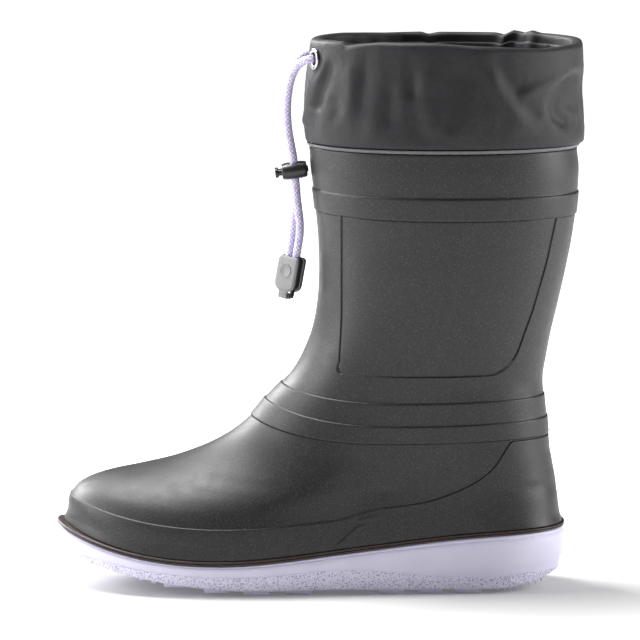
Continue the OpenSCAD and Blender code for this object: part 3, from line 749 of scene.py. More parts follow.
def upper_rings():
    turn = shaft_columns()
    u = along(turn)
    rings = []

    def add(level, out):
        level = np.broadcast_to(np.asarray(level, float), turn.shape)
        place = warped(turn, level)
        rings.append(skin(place, level, out))

    add(27, -4)
    add(35.6, -4)
    line = OVERLAY_LOW + OVERLAY_RISE * climb(u)
    room = np.minimum(1, (83.95 - line) / 1.8)
    tuck = 2.3 * (1 - ease(u / 0.16))
    for step, out in ((35.7, 0.1), (35.8, 0.7), (36.0, 1.0)):
        add(step, out - tuck)
    for k in np.linspace(0, 1, 32)[1:]:
        level = mix(36, line - 0.9, k)
        place = warped(turn, level)
        out = 1.0 - tuck * (1 - k) ** 1.2
        plain = skin(place, level, out)
        rings.append(skin(place, level, out + branch_ridge(plain)))
    groove = ease((u - 0.72) / 0.1)
    for step, out, ledge in ((-0.5, 1.0, 1.0), (-0.3, 0.95, 0.96), (-0.15, 0.82, 0.88),
                             (-0.03, 0.55, 0.74), (0.06, 0.22, 0.6), (0.18, 0.1, 0.5),
                             (0.3, 0.2, 0.44), (0.42, 0.34, 0.41), (0.6, 0.4, 0.4),
                             (1.0, 0.4, 0.4)):
        add(line + step * np.where(step > 0, room, 1), mix(ledge, out, groove))
    begin = line + 1.0 * room
    for k in np.linspace(0, 1, 44)[1:]:
        add(mix(begin, 83.97, k ** 1.25), 0.4)
    # groove, lower ankle band, upper ankle band, plain shaft
    for step, out in ((84.0, 0.25), (84.04, 0.0), (84.1, 0.15), (84.18, 0.65), (84.3, 1.05),
                      (84.5, 1.22), (84.9, 1.25), (85.8, 1.25), (88, 1.25), (90.4, 1.25),
                      (92.3, 1.25), (93.2, 1.25), (93.5, 1.18), (93.72, 1.0), (93.88, 0.8),
                      (94.02, 0.68), (94.3, 0.65), (95.6, 0.65), (98, 0.65), (100.6, 0.65),
                      (103, 0.65), (104.6, 0.65), (105.35, 0.63), (105.65, 0.52),
                      (105.85, 0.32), (106.0, 0.13), (106.15, 0.02), (106.6, 0), (108, 0),
                      (110.5, 0), (113, 0), (115.5, 0), (117.6, 0), (118.7, 0)):
        add(step, out)

    def panelled(level, out):
        level = np.broadcast_to(np.asarray(level, float), turn.shape)
        place = warped(turn, level)
        rings.append(skin(place, level, out - panel_depth(place, level)))

    for step in (119.2, 119.45, 119.65, 119.85, 120.05, 120.25, 120.5, 120.8):
        panelled(step, 0)
    for step in np.concatenate([np.arange(121.3, 134, 0.65), np.linspace(135, 203.6, 34)]):
        panelled(step, 0)
    # band over the panel, plain top, lip at the top edge
    panelled(204.3, 0)
    panelled(204.5, -0.1)
    for step, out in ((204.62, -0.3), (204.7, 0.0), (204.8, 0.45), (204.95, 0.72), (205.2, 0.8),
                      (206, 0.8), (208.5, 0.8), (211, 0.8), (213.5, 0.8), (215.6, 0.8),
                      (216.2, 0.78), (216.55, 0.65), (216.85, 0.4), (217.05, 0.15),
                      (217.3, 0.02), (217.8, 0), (219.5, 0), (222, 0), (225, 0), (228.5, 0),
                      (232, 0), (235.5, 0), (238.5, 0), (240.1, 0), (240.5, -0.15),
                      (240.8, -0.5), (240.8, -2.0), (240.6, -SHELL_WALL)):
        add(step, out)
    # down the inside
    for level in (234, 217, 195, 172, 150, 133, 120, 110, 100, 90, 80, 71, 64, 58, 53, 48, 42, 36):
        add(level, -SHELL_WALL)
    add(30, -6.5)
    bottom, last = rings[0], rings[-1]
    return floor_of(bottom)[::-1] + rings + floor_of(last)


upper = lofted("moulded_upper", upper_rings())
dress(upper, BOOT, GRAPHITE, "upper_shell")


# ---------------------------------------------------------------- welt
def welt_rings():
    turn = shaft_columns()
    rings = []
    for k in np.linspace(0, 1, 21):
        level = 33.3 + 2.3 * k
        out = 1.55 + 0.65 * abs(math.sin(math.pi * 2 * k)) ** 0.6
        rings.append(skin(turn, level, out))
    rings.append(skin(turn, 35.6, 0.4))
    rings.append(skin(turn, 35.6, -3.6))
    rings.append(skin(turn, 33.3, -3.6))
    rings.append(skin(turn, 33.3, 0.6))
    return rings


welt = lofted("welt_double_bead", welt_rings(), joined=True)
dress(welt, BOOT, BROWN, "welt_bead")


# ---------------------------------------------------------------- outsole
LUG, LUG_HIGH, SOLE_TOP = 15.0, 2.7, 33.0
BAND_TOP = [(-141, 20.2), (-123, 18.5), (-95, 13.7), (-62, 11.1), (-29, 11.5), (0, 14.1),
            (19, 14.6), (39, 13.2), (66, 10.3), (94, 9.4), (117, 11.8), (131, 10.9)]
SIDE_SWELL = [(0, -2.6), (0.05, -1.2), (0.12, -0.6), (0.45, 2.0), (0.8, 2.25), (0.88, 1.9),
              (0.93, 1.3), (1, 0.8)]


def tread_z(u):
    rise = 16 * np.clip(1 - u / 0.45, 0, 1) ** 2.2
    return LUG_HIGH + rise + 7 * np.clip((u - 0.85) / 0.15, 0, 1) ** 2


def ripple(points, scale):
    """Seeded smooth noise of each point, from -1 to 1."""
    flat = points.reshape(-1, 3)
    return np.array([noise.noise(Vector(p) * scale) for p in flat]).reshape(points.shape[:-1])


def stippled_worms(points):
    """Short raised worms, as a spark-eroded mould leaves them, from 0 to 1."""
    a = ripple(points, 0.62)
    b = ripple(points + 31.7, 1.15)
    return ease((abs(a + 0.45 * b) - 0.06) / 0.3)


def sole_rings():
    turn = even(1040)
    u = along(turn)
    low = tread_z(u)
    top = skin(turn, SOLE_TOP, 0.0)[:, 2]
    at_x = skin(turn, SOLE_TOP, 1.5)[:, 0]
    band = (table(at_x, BAND_TOP) - low) / (top - low)
    rings, marks = [], []

    def keep(ring, stipple=0.0):
        rings.append(ring)
        marks.append(np.broadcast_to(np.asarray(stipple, float), turn.shape))

    def add(k, extra=0.0, stipple=0.0):
        k = np.broadcast_to(np.asarray(k, float), turn.shape)
        out = table(k, SIDE_SWELL) + extra
        ring = skin(turn, SOLE_TOP, out)
        ring[:, 2] = mix(low, top, k)
        if np.any(stipple):
            worms = stippled_worms(ring)
            ring = skin(turn, SOLE_TOP, out + stipple * 0.34 * (worms - 0.35))
            ring[:, 2] = mix(low, top, k)
        keep(ring, stipple)

    floor_low = skin(turn, SOLE_TOP, -2.6 - 3.0)
    floor_low[:, 2] = low
    for ring in floor_of(floor_low, 4)[::-1] + [floor_low]:
        ring[:, 2] = np.interp(ring[:, 0], floor_low[:521, 0], low[:521])
        keep(ring)
    add(0.0)
    add(0.03 * np.ones(len(turn)))
    for k in np.linspace(0.07, 1, 26):
        add(mix(0.0, band, k) * 0.985, 0.32, 1.0)
    add(band * 0.992, 0.30, 0.4)
    add(band, 0.16)
    add(band + 0.006, -0.05)
    add(band + 0.02, -0.06)
    for k in np.linspace(0, 1, 12)[1:]:
        add(mix(band + 0.02, 0.86, k), -0.06 * (1 - k))
    for k, extra in ((0.89, 0.0), (0.915, -0.1), (0.925, -0.35), (0.935, -0.3), (0.945, 0.25),
                     (0.955, 0.55), (0.975, 0.62), (0.99, 0.5), (1.0, 0.2)):
        add(k, extra)
    for level, out in ((SOLE_TOP, -0.6), (SOLE_TOP, -3.7), (26.6, -3.7)):
        keep(skin(turn, level, out))
    for ring in floor_of(rings[-1], 3):
        keep(ring)
    return rings, marks


def tapered_block(name, length, width, high):
    """A lug about its own middle: tapered towards the ground, with moulded round edges."""
    deselect()
    bpy.ops.mesh.primitive_cube_add(size=1, scale=(length * MM, width * MM, high * MM))
    block = bpy.context.object
    block.name = name
    settle(block)
    bpy.ops.object.mode_set(mode="EDIT")
    bpy.ops.mesh.select_mode(type="FACE")
    bpy.ops.mesh.select_all(action="DESELECT")
    bpy.ops.object.mode_set(mode="OBJECT")
    for face in block.data.polygons:
        face.select = face.normal.z < -0.5
    bpy.ops.object.mode_set(mode="EDIT")
    bpy.ops.transform.resize(value=((length - 2) / length, (width - 2) / width, 1))
    bpy.ops.object.mode_set(mode="OBJECT")
    return bevelled(block, 0.45, 2)


def sole_edge(x, side):
    u = np.clip((x + 141) / 272.6, 0, 1)
    turn = math.degrees(math.acos(1 - 2 * u))
    return skin(turn if side < 0 else 360 - turn, SOLE_TOP, -3.0)[1]


def sole_level(x):
    return float(tread_z(np.array((x + 138) / 267))) - LUG_HIGH


def outsole_lugs():
    """Every lug is a copy of one of three blocks, stretched sideways to its place."""
    units = {"edge": (tapered_block("lug", LUG, LUG, 3.7), LUG, LUG),
             "bar": (tapered_block("toe_bar", 4.5, 60, 3.7), 4.5, 60),
             "tooth": (tapered_block("tooth", 2.2, 60, 3.7), 2.2, 60)}
    made = []

    def place(kind, x0, x1, y0, y1, rise):
        unit, length, width = units[kind]
        copy = unit.copy()
        copy.data = unit.data.copy()
        bpy.context.collection.objects.link(copy)
        copy.scale = ((x1 - x0) / length, (y1 - y0) / width, 1)
        copy.location = ((x0 + x1) / 2 * MM, (y0 + y1) / 2 * MM, (rise + 1.85) * MM)
        settle(copy)
        made.append(copy)

    for x in (-85, -63, -41.5, -18.5, 31.5, 52.5, 73.5):
        near = max(sole_edge(x, -1), sole_edge(x + LUG, -1))
        far = min(sole_edge(x, 1), sole_edge(x + LUG, 1))
        rise = max(sole_level(x), sole_level(x + LUG))
        place("edge", x, x + LUG, near, near + LUG, rise)
        place("edge", x, x + LUG, far - LUG, far, rise)
        place("edge", x - 6.3, x + LUG - 8.2, near + LUG + 3.6, -2.1, rise)
        place("edge", x - 6.3, x + LUG - 8.2, 2.1, far - LUG - 3.6, rise)
    for x in (-105, -98.5, -92):
        place("bar", x, x + 4.5, sole_edge(x, -1) + 1, sole_edge(x, 1) - 1, sole_level(x) + 0.4)
    for x in np.arange(-124, -110.9, 3.4):
        place("tooth", x, x + 2.2, sole_edge(x, -1) + 1, sole_edge(x, 1) - 1, sole_level(x) + 1)
    for x in np.arange(96, 120.1, 3.4):
        place("tooth", x, x + 2.2, sole_edge(x, -1) + 2, sole_edge(x, 1) - 2,
              sole_level(x) + 0.2)
    for unit, _, _ in units.values():
        bpy.data.objects.remove(unit, do_unlink=True)
    return join("outsole_lugs", *made)


rings, marks = sole_rings()
sole = lofted("outsole_side_wall", rings, marks={"stipple": marks})
dress(sole, BOOT, LAVENDER, "outsole")
lugs = outsole_lugs()
smooth(lugs)
dress(lugs, BOOT, LAVENDER, "outsole")


# ---------------------------------------------------------------- collar
# Each fold: height of the ridge (minus for a valley), its width, and its line of (x, z).
NEAR_FOLDS = [
    (1.5, 2.4, [(2.3, 288), (-0.7, 278.8), (-2.9, 273.1), (-4.5, 262.8), (-7.2, 255)]),
    (-2.2, 2.6, [(5.4, 287), (3.2, 280), (0.8, 272), (-1.2, 265)]),
    (-1.0, 3.0, [(8.4, 268), (9.5, 264), (8.4, 259)]),
    (1.1, 5.0, [(16.5, 284), (16.5, 271), (15.0, 262)]),
    (-1.1, 4.0, [(25, 292), (24, 282), (22, 270)]),
    (-1.1, 5.0, [(37.7, 273), (37.7, 262)]),
    (-1.3, 4.2, [(49.4, 287), (49.4, 276)]),
    (0.9, 5.5, [(60, 290), (58, 272), (60, 256)]),
    (-0.9, 5.0, [(74, 286), (72, 270), (70, 258)]),
    (1.4, 6.0, [(85.6, 291.8), (96, 275), (107.9, 256.8)]),
    (-1.2, 4.6, [(96, 289), (105, 275), (114, 263)]),
    (1.5, 3.4, [(110, 272.2), (122, 277.5), (132, 281), (138, 284)]),
    (-2.4, 3.6, [(137, 282), (130, 274), (126.5, 266), (128, 260), (132, 257)]),
    (-1.8, 4.2, [(135, 277), (135, 266)]),
]
FAR_FOLDS = [
    (-2.0, 2.6, [(5.4, 288), (3.0, 276), (0.5, 266)]),
    (1.3, 3.2, [(14, 291), (13, 276), (10, 262)]),
    (-1.7, 4.0, [(30, 294), (31, 280), (28, 262)]),
    (1.4, 4.2, [(45, 294), (44, 276), (46, 258)]),
    (-2.2, 3.0, [(59, 297), (60, 284), (63, 268)]),
    (1.2, 5.0, [(76, 293), (80, 276), (78, 258)]),
    (-2.4, 2.6, [(104, 297), (101, 285), (95, 270)]),
    (1.6, 2.6, [(111.5, 297), (109, 284), (106, 270)]),
    (-2.2, 3.0, [(121.7, 296), (118, 282), (116, 266)]),
    (1.2, 3.6, [(131, 290), (130, 276), (127, 262)]),
]
NEAR_RIM = [(-4, 0.3), (4, 1.2), (11, 1.2), (13.7, -0.8), (18, 0.2), (31, 1.9), (61.6, 2.1),
            (80, 0.6), (99, -0.4), (120.8, -1.9), (142.9, -0.8)]
FAR_RIM = [(-4, 0.3), (10, 0.8), (35, 0.2), (56, 0.6), (60, -0.6), (66, 0.5), (98, 0.4),
           (103, -0.6), (108, 1.9), (114, 0.7), (119, 2.2), (124, 0.9), (142, 0.7)]


def from_line(x, z, line):
    """Distance from each place to a line of points."""
    best = np.full(x.shape, 1e9)
    for (ax, az), (bx, bz) in zip(line, line[1:]):
        dx, dz = bx - ax, bz - az
        t = np.clip(((x - ax) * dx + (z - az) * dz) / (dx * dx + dz * dz), 0, 1)
        best = np.minimum(best, np.hypot(x - ax - t * dx, z - az - t * dz))
    return best


def fold_field(points):
    """How far the cloth stands off the plain collar, in millimetres."""
    x, y, z = points[..., 0], points[..., 1], points[..., 2]
    near = 1 - ease((y + 8) / 16)
    total = np.zeros(x.shape)
    for folds, share in ((NEAR_FOLDS, near), (FAR_FOLDS, 1 - near)):
        for high, wide, line in folds:
            total += share * high * np.exp(-(from_line(x, z, line) / wide) ** 2)
    stretched = points * (1, 1, 0.45)
    total += 1.1 * ripple(stretched, 0.045) + 0.55 * ripple(stretched + 50, 0.11)
    total += 0.16 * ripple(points + 90, 0.33)
    total *= ease((z - 244.5) / 9)
    total *= mix(1, 0.55, ease((z - 281) / 8))
    for side in (-1, 1):
        away = np.linalg.norm(points - EYE * (1, -side, 1), axis=-1)
        total *= ease((away - 6.5) / 6)
    return total


def rim_lift(points):
    x, y, z = points[..., 0], points[..., 1], points[..., 2]
    near = 1 - ease((y + 10) / 20)
    lift = mix(table(x, FAR_RIM), table(x, NEAR_RIM), near)
    return lift * ease((z - 281) / 17)


def collar_skin(turn, level, out):
    """A ring of the folded collar; every layer takes the same folds."""
    plain = skin(turn, level, 0.0)
    ring = skin(turn, level, out + fold_field(plain))
    ring[..., 2] += rim_lift(plain)
    return ring


def profile_rings(turn, profile, shape):
    """Rings through a profile of (level, outward), refined to about a millimetre."""
    rings = []
    for (h0, o0), (h1, o1) in zip(profile, profile[1:]):
        count = max(1, int(round(math.hypot(h1 - h0, o1 - o0) / 1.25)))
        for k in range(count):
            rings.append(shape(turn, mix(h0, h1, k / count), mix(o0, o1, k / count)))
    rings.append(shape(turn, profile[-1][0], profile[-1][1]))
    return rings


FABRIC, IN_LEG, RIM = 0.9, 6.3, 298.5
COLLAR_PROFILE = [
    (228, -2.8), (241.4, -2.8), (242.6, -2.4), (243.2, -1.6), (243.5, -0.6), (243.9, -0.05),
    (244.6, 0.1), (251, 0.1), (260, 0), (271, 0), (290, 0), (RIM - 2.2, 0),
    (RIM - 1.3, -0.35), (RIM - 0.6, -0.9), (RIM - 0.15, -1.9), (RIM, -3), (RIM - 0.1, -4.4),
    (RIM - 0.6, -5.9), (RIM - 1.3, -6.5), (RIM - 2.2, -6.7), (290, -7.2), (283.5, -7.2),
    (283.2, -6.75), (283.5, IN_LEG * -1), (290, -6.3), (RIM - 2.8, -6.3), (RIM - 1.6, -5.4),
    (RIM - 1.2, -4.4), (RIM - 1.2, -2.6), (RIM - 1.7, -1.5), (RIM - 2.8, -FABRIC),
    (290, -FABRIC), (271, -FABRIC), (260, -FABRIC), (251, -0.8), (245, -1.1), (244.2, -1.9),
    (243.6, -3.3), (241, -3.7), (228, -3.7)]
LINING_PROFILE = [
    (242, -5), (256, -4.6), (270, -4.6), (279, -5.6), (283.5, -7.5), (293, -7.5),
    (293.3, -7.95), (293, -8.4), (283.3, -8.4), (278.6, -6.5), (270, -5.5), (256, -5.5),
    (242, -5.9)]


def punched(piece, radius=4.3):
    """Punch the two eyelet holes through a collar layer."""
    cutters = []
    for side in (-1, 1):
        cutter = cylinder("punch", radius, 7)
        put(cutter, eyelet_place(side) @ Matrix.Translation((0, 0, 0.1 * MM)))
        cutters.append(cutter)
    return cut_away(piece, *cutters)


def eyelet_place(side):
    """Axes of an eyelet: its +Z looks out of the collar."""
    spot = Vector((EYE_X, side * EYE_SIDE, EYE_Z)) * MM
    turned = Matrix.Rotation(-side * EYE_TURN, 4, "Z") @ Matrix.Rotation(math.radians(-90), 4, "Y")
    return Matrix.Translation(spot) @ turned


collar_turns = even(380)
collar = lofted("collar_nylon_sleeve", profile_rings(collar_turns, COLLAR_PROFILE, collar_skin),
                joined=True, angle=60)
punched(collar)
smooth(collar, 60)
dress(collar, BOOT, COLLAR_NYLON, "collar_outer")

lining = lofted("collar_nylon_lining",
                profile_rings(even(300), LINING_PROFILE, collar_skin), joined=True, angle=60)
dress(lining, BOOT, LINING_NYLON, "collar_lining")

PIPING_PROFILE = [(241.1, 0.1), (241.25, 0.5), (241.6, 0.85), (242, 0.95), (242.45, 0.85),
                  (242.8, 0.5), (243.0, 0.1), (242.9, -0.6), (242.6, -1.1), (241.7, -1.3),
                  (241.2, -0.6)]
piping = lofted("collar_piping", [skin(collar_turns, h, o) for h, o in PIPING_PROFILE],
                joined=True, angle=60)
dress(piping, BOOT, PIPING, "top_piping")


# ---------------------------------------------------------------- sock and footbed
def quilted(turn, level, out, depth=0.5, pitch=17):
    """A felt layer that swells softly between its stitch lines."""
    swell = abs(np.sin(math.pi * level / pitch)) ** 0.5
    return skin(turn, level, out + depth * (swell - 1))


def sock_rings():
    turn = even(220)
    outer = [skin(turn, h, -LINER_OUTSIDE) for h in (44, 50, 55, 60, 66, 74, 84, 96, 108, 120, 134, 152,
                                           176, 200, 222)]
    top = [skin(turn, h, o) for h, o in ((226, -4.3), (238.6, -4.3), (239.8, -4.5),
                                         (240.4, -5.1), (240.6, -6.2), (240.6, -7.4),
                                         (240.3, -8.3), (239.6, -8.7), (233.5, -8.8),
                                         (233.2, -8.5), (232.6, -8.5))]
    inner = [quilted(turn, h, -LINER_INSIDE - 1.2 * ease((h - 216) / 9))
             for h in np.arange(231, 46, -2.2)]
    sole_side = [skin(turn, 40, -8.5), skin(turn, 36.8, -11.1)]
    start = [skin(turn, 32.6, -LINER_INSIDE), skin(turn, 38, -LINER_OUTSIDE)]
    return (floor_of(start[0])[::-1] + start + outer + top + inner + sole_side
            + floor_of(sole_side[-1]))


sock = lofted("felt_sock", sock_rings(), angle=50)
dress(sock, BOOT, GREY_FELT, "liner_sock")


def footbed_rings():
    turn = even(220)
    rings = [skin(turn, h, o) for h, o in ((37.2, -12.4), (38, -11.4), (39.6, -10.6),
                                           (42.2, -10.2), (43.0, -10.5), (43.4, -11.2))]
    return floor_of(rings[0])[::-1] + rings + floor_of(rings[-1], 8)


footbed = lofted("felt_footbed", footbed_rings(), angle=50)
dress(footbed, BOOT, DARK_FELT, "footbed")


def board_rings():
    turn = even(200)
    rings = [skin(turn, h, o) for h, o in ((30.4, -7.9), (30.6, -7.6), (32.0, -7.6),
                                           (32.2, -7.9))]
    return floor_of(rings[0])[::-1] + rings + floor_of(rings[-1])


board = lofted("fibre_insole_board", board_rings())
dress(board, BOOT, FIBRE_BOARD, "insole_board")


# ---------------------------------------------------------------- eyelets
def spun(name, profile, steps=72):
    """A turned ring: its section, given in millimetres, goes once round +Z."""
    deselect()
    bpy.ops.mesh.primitive_circle_add(vertices=len(profile), radius=1)
    ring = bpy.context.object
    ring.name = name
    for vertex, (r, z) in zip(ring.data.vertices, profile):
        vertex.co = (r * MM, 0, z * MM)
    bpy.ops.object.mode_set(mode="EDIT")
    bpy.ops.mesh.select_all(action="SELECT")
    bpy.ops.mesh.spin(steps=steps, angle=2 * math.pi, center=(0, 0, 0), axis=(0, 0, 1))
    bpy.ops.mesh.select_all(action="SELECT")
    bpy.ops.mesh.remove_doubles(threshold=1e-6)
    bpy.ops.mesh.normals_make_consistent(inside=False)
    bpy.ops.object.mode_set(mode="OBJECT")
    return ring


ROLLED_RIM = [(4.75 + 1.25 * math.cos(a) * 0.96, 0.72 + 0.78 * math.sin(a))
              for a in np.radians(np.arange(-60, 181, 20))]
EYELET_SECTION = [(4.0, -1.4), (4.0, 0.3), (5.3, 0.3), *ROLLED_RIM, (3.5, 0.5), (3.5, -1.4)]
WASHER_SECTION = [(4.05, -1.4), (4.05, -1.13), (4.15, -1.05), (5.35, -1.05), (5.5, -1.15),
                  (5.5, -1.32), (5.4, -1.4)]


def eyelet_ring(name, profile, side, node):
    ring = spun(name, profile)
    put(ring, eyelet_place(side))
    smooth(ring, 50)
    dress(ring, BOOT, NICKEL, node)


eyelet_ring("rolled_eyelet_near", EYELET_SECTION, -1, "eyelet_near")
eyelet_ring("rolled_eyelet_far", EYELET_SECTION, 1, "eyelet_far")
eyelet_ring("eyelet_back_washer_near", WASHER_SECTION, -1, "eyelet_washer_near")
eyelet_ring("eyelet_back_washer_far", WASHER_SECTION, 1, "eyelet_washer_far")


def channel_route():
    """The cord's run inside the rim, from one eyelet round the leg to the other."""
    level, depth = 291.2, -3.6
    start = [EYE - 0.8 * OUT, EYE - 2.7 * OUT, EYE - 3.4 * OUT + (0.25, -0.6, 0.1),
             EYE - 3.95 * OUT + (1.1, -3.3, 0.6)]
    middle = [collar_skin(np.array([t]), level, depth)[0] for t in np.arange(33, 328, 6.125)]
    return np.array([*start, *middle, *[p * FAR for p in start[::-1]]])


run, _, _ = braided("drawcord_channel_braid", channel_route(), step=0.9, sides=24)
dress(run, BOOT, BRAID, "drawcord_channel_run")


# ---------------------------------------------------------------- cord lock
HALF_LOCK, LOCK_WIDE, LOCK_TALL, TRAVEL = 6.9, 15.0, 9.4, 1.5
SLOT_HALF, SLOT_WIDE = 2.85, 10.2
LOCK_PLACE = Matrix.Translation(Vector(LOCK_AT) * MM) @ Matrix.Rotation(math.radians(-8), 4, "Y")


def stadium_bar(name, x0, x1, width, tall, end_round=0.0):
    """A bar along X with round sides, its ends softened."""
    bar = boxed(name, (x0, -width / 2, -tall / 2), (x1, width / 2, tall / 2))
    round_edges(bar, tall / 2 - 0.05, 9, lambda a, b: abs(a.x - b.x) > 0.5 * (x1 - x0))
    return bevelled(bar, end_round, 4, 40) if end_round else bar


def slot_bar(x0, x1, width, tall):
    """A bar along Z with rounded upright edges, for cutting the cords' way through."""
    bar = boxed("slot", (x0, -width / 2, -tall / 2), (x1, width / 2, tall / 2))
    round_edges(bar, 1.2, 5, lambda a, b: abs(a.z - b.z) > 0.5 * tall)
    return bar


def fuse(name, piece, *others):
    """Weld overlapping pieces into one moulding."""
    for other in others:
        weld = piece.modifiers.new("weld", "BOOLEAN")
        weld.operation = "UNION"
        weld.object = other
        weld.solver = "EXACT"
        apply_all(piece)
        bpy.data.objects.remove(other, do_unlink=True)
    piece.name = name
    return piece


def swell_lengthwise(piece, reach, high):
    """Crown a bar: its middle stands prouder than its ends."""
    for vertex in piece.data.vertices:
        x = vertex.co.x / MM / reach
        vertex.co.z *= 1 - high * x * x
        vertex.co.y *= 1 - 0.5 * high * x * x


def lock_barrel():
    shell = stadium_bar("lock_barrel", -HALF_LOCK, HALF_LOCK, LOCK_WIDE, LOCK_TALL)
    choose(shell, "EDGE", lambda a, b: abs(a.x - b.x) > HALF_LOCK)
    bpy.ops.mesh.subdivide(number_cuts=7)
    bpy.ops.object.mode_set(mode="OBJECT")
    swell_lengthwise(shell, HALF_LOCK, 0.16)
    bevelled(shell, 1.1, 4, 55)
    knob = stadium_bar("knob", HALF_LOCK - 0.4, HALF_LOCK + 0.7, 5, 3.4, 0.4)
    fuse("lock_barrel_shell", shell, knob)
    cut_away(shell, stadium_bar("cavity", -HALF_LOCK - 1, HALF_LOCK - 0.7, 12.2, 6.2),
             slot_bar(-SLOT_HALF, SLOT_HALF, SLOT_WIDE, 20))
    bevelled(shell, 0.22, 2, 50)
    put(shell, LOCK_PLACE)
    smooth(shell, 40)
    return shell


def lock_plunger():
    body = stadium_bar("lock_plunger", -HALF_LOCK + 0.5, 3.5, 12, 6, 0.3)
    neck = stadium_bar("neck", -9.2, -HALF_LOCK + 0.8, 9, 3.4, 0.0)
    head = stadium_bar("head", -10.6, -HALF_LOCK - TRAVEL - 0.4, 10.4, 5.2, 0.0)
    step_faces(head, 0.7, (0.35, 0, 0), lambda normal: normal.x < -0.9)
    bevelled(head, 0.25, 2, 40)
    fuse("lock_plunger_button", body, neck, head)
    cut_away(body, slot_bar(-SLOT_HALF - TRAVEL, SLOT_HALF, SLOT_WIDE, 20))
    put(body, LOCK_PLACE)
    smooth(body, 40)
    return body


def wire(name, path, diameter, sides=12):
    """A round wire along a path in millimetres, with closed ends."""
    path = np.asarray(path, float)
    ahead = np.gradient(path, axis=0)
    ahead /= np.linalg.norm(ahead, axis=1, keepdims=True)
    across = np.cross(ahead[0], (0.3, 0.2, 1.0))
    angle = np.linspace(0, 2 * np.pi, sides, endpoint=False)[:, None]
    rings = []
    for place, way in zip(path, ahead):
        across = across - way * across.dot(way)
        across /= np.linalg.norm(across)
        rings.append(place + diameter / 2 * (np.cos(angle) * across
                                             + np.sin(angle) * np.cross(way, across)))
    rings = [np.repeat(path[:1], sides, 0), *rings, np.repeat(path[-1:], sides, 0)]
    return lofted(name, rings, angle=60)


def lock_spring():
    rest, turns = HALF_LOCK - 0.7 - 3.5 - 0.7, 2.5
    t = np.linspace(0, 1, 150)
    a = 2 * np.pi * turns * t
    coil = wire("lock_spring_coil",
                np.stack([3.85 + rest * t, 1.7 * np.cos(a), 1.7 * np.sin(a)], 1), 0.5)
    put(coil, LOCK_PLACE)
    return coil


barrel, plunger, spring = lock_barrel(), lock_plunger(), lock_spring()
dress(barrel, LOCK, LOCK_BLACK, "lock_barrel")
dress(plunger, PLUNGER, LOCK_BLACK, "lock_plunger")
dress(spring, LOCK, SPRING_STEEL, "lock_spring")


# ---------------------------------------------------------------- cord end
END_WIDE, END_HIGH, END_THICK = 14.6, 19.6, 7.4
HINGE_LOW = -END_HIGH - 2.4
END_PLACE = (Matrix.Translation(Vector((-14.3, 0, 180.6)) * MM)
             @ Matrix.Rotation(math.radians(10), 4, "Y")
             @ Matrix.Rotation(math.radians(-40), 4, "Z"))


def end_plate(name, y0, y1, width, top, bottom, round_top=2.0, round_low=4.6):
    """A plate facing -Y with rounded corners, rounder at its lower end."""
    plate = boxed(name, (-width / 2, y0, -bottom), (width / 2, y1, -top))
    middle = -(top + bottom) / 2
    for low, radius in ((True, round_low), (False, round_top)):
        round_edges(plate, radius, 8, lambda a, b: (abs(a.y - b.y) > 0.5 * (y1 - y0)
                                                    and (a.z < middle) == low
                                                    and abs(abs(a.x) - width / 2) < 0.01))
    return plate


def mouth_bar():
    bar = boxed("mouth", (-5.5, -3.05, -3), (5.5, 3.05, 3))
    round_edges(bar, 3.0, 8, lambda a, b: abs(a.z - b.z) > 3)
    return bar


def pin(name, x0, x1, diameter):
    """A round bar along X through the hinge at the foot of the cord end."""
    return cylinder(name, diameter / 2, x1 - x0, ((x0 + x1) / 2, 0, HINGE_LOW),
                    (0, math.pi / 2, 0))


def cord_end_body():
    body = end_plate("end_body", -1.9, 2.4, END_WIDE - 0.5, 0.2, END_HIGH - 0.2)
    bevelled(body, 0.35, 2, 50)
    back = end_plate("end_back", 2.2, END_THICK / 2, END_WIDE, 0, END_HIGH)
    bevelled(back, 0.8, 4, 50)
    ears = [bevelled(boxed("ear", (x, -1.2, HINGE_LOW), (x + 1.4, 1.4, HINGE_LOW + 4)), 0.3, 2)
            for x in (-4.6, 3.2)]
    fuse("cord_end_body", body, back, *ears, pin("hinge_pin", -4.75, 4.75, 1.6))
    low = -END_HIGH / 2 - 0.4
    half_high = (END_HIGH - 2.2 - 0.6) / 2
    half_wide = (END_WIDE - 2.2) / 2
    cut_away(body, boxed("pocket", (-half_wide, -4.9, low - half_high),
                         (half_wide, 2.35, low + half_high)), mouth_bar())
    put(body, END_PLACE)
    smooth(body, 40)
    return body


def cord_end_trim():
    """The grey strip that runs round the edge between the body and its back."""
    strip = end_plate("cord_end_trim", 0.9, 1.9, END_WIDE + 0.2, -0.1, END_HIGH + 0.1)
    bevelled(strip, 0.3, 3, 50)
    cut_away(strip, end_plate("inside", 0.5, 2.3, END_WIDE - 1.6, 0.8, END_HIGH - 0.8, 1.4, 4.0),
             mouth_bar())
    put(strip, END_PLACE)
    smooth(strip, 40)
    return strip


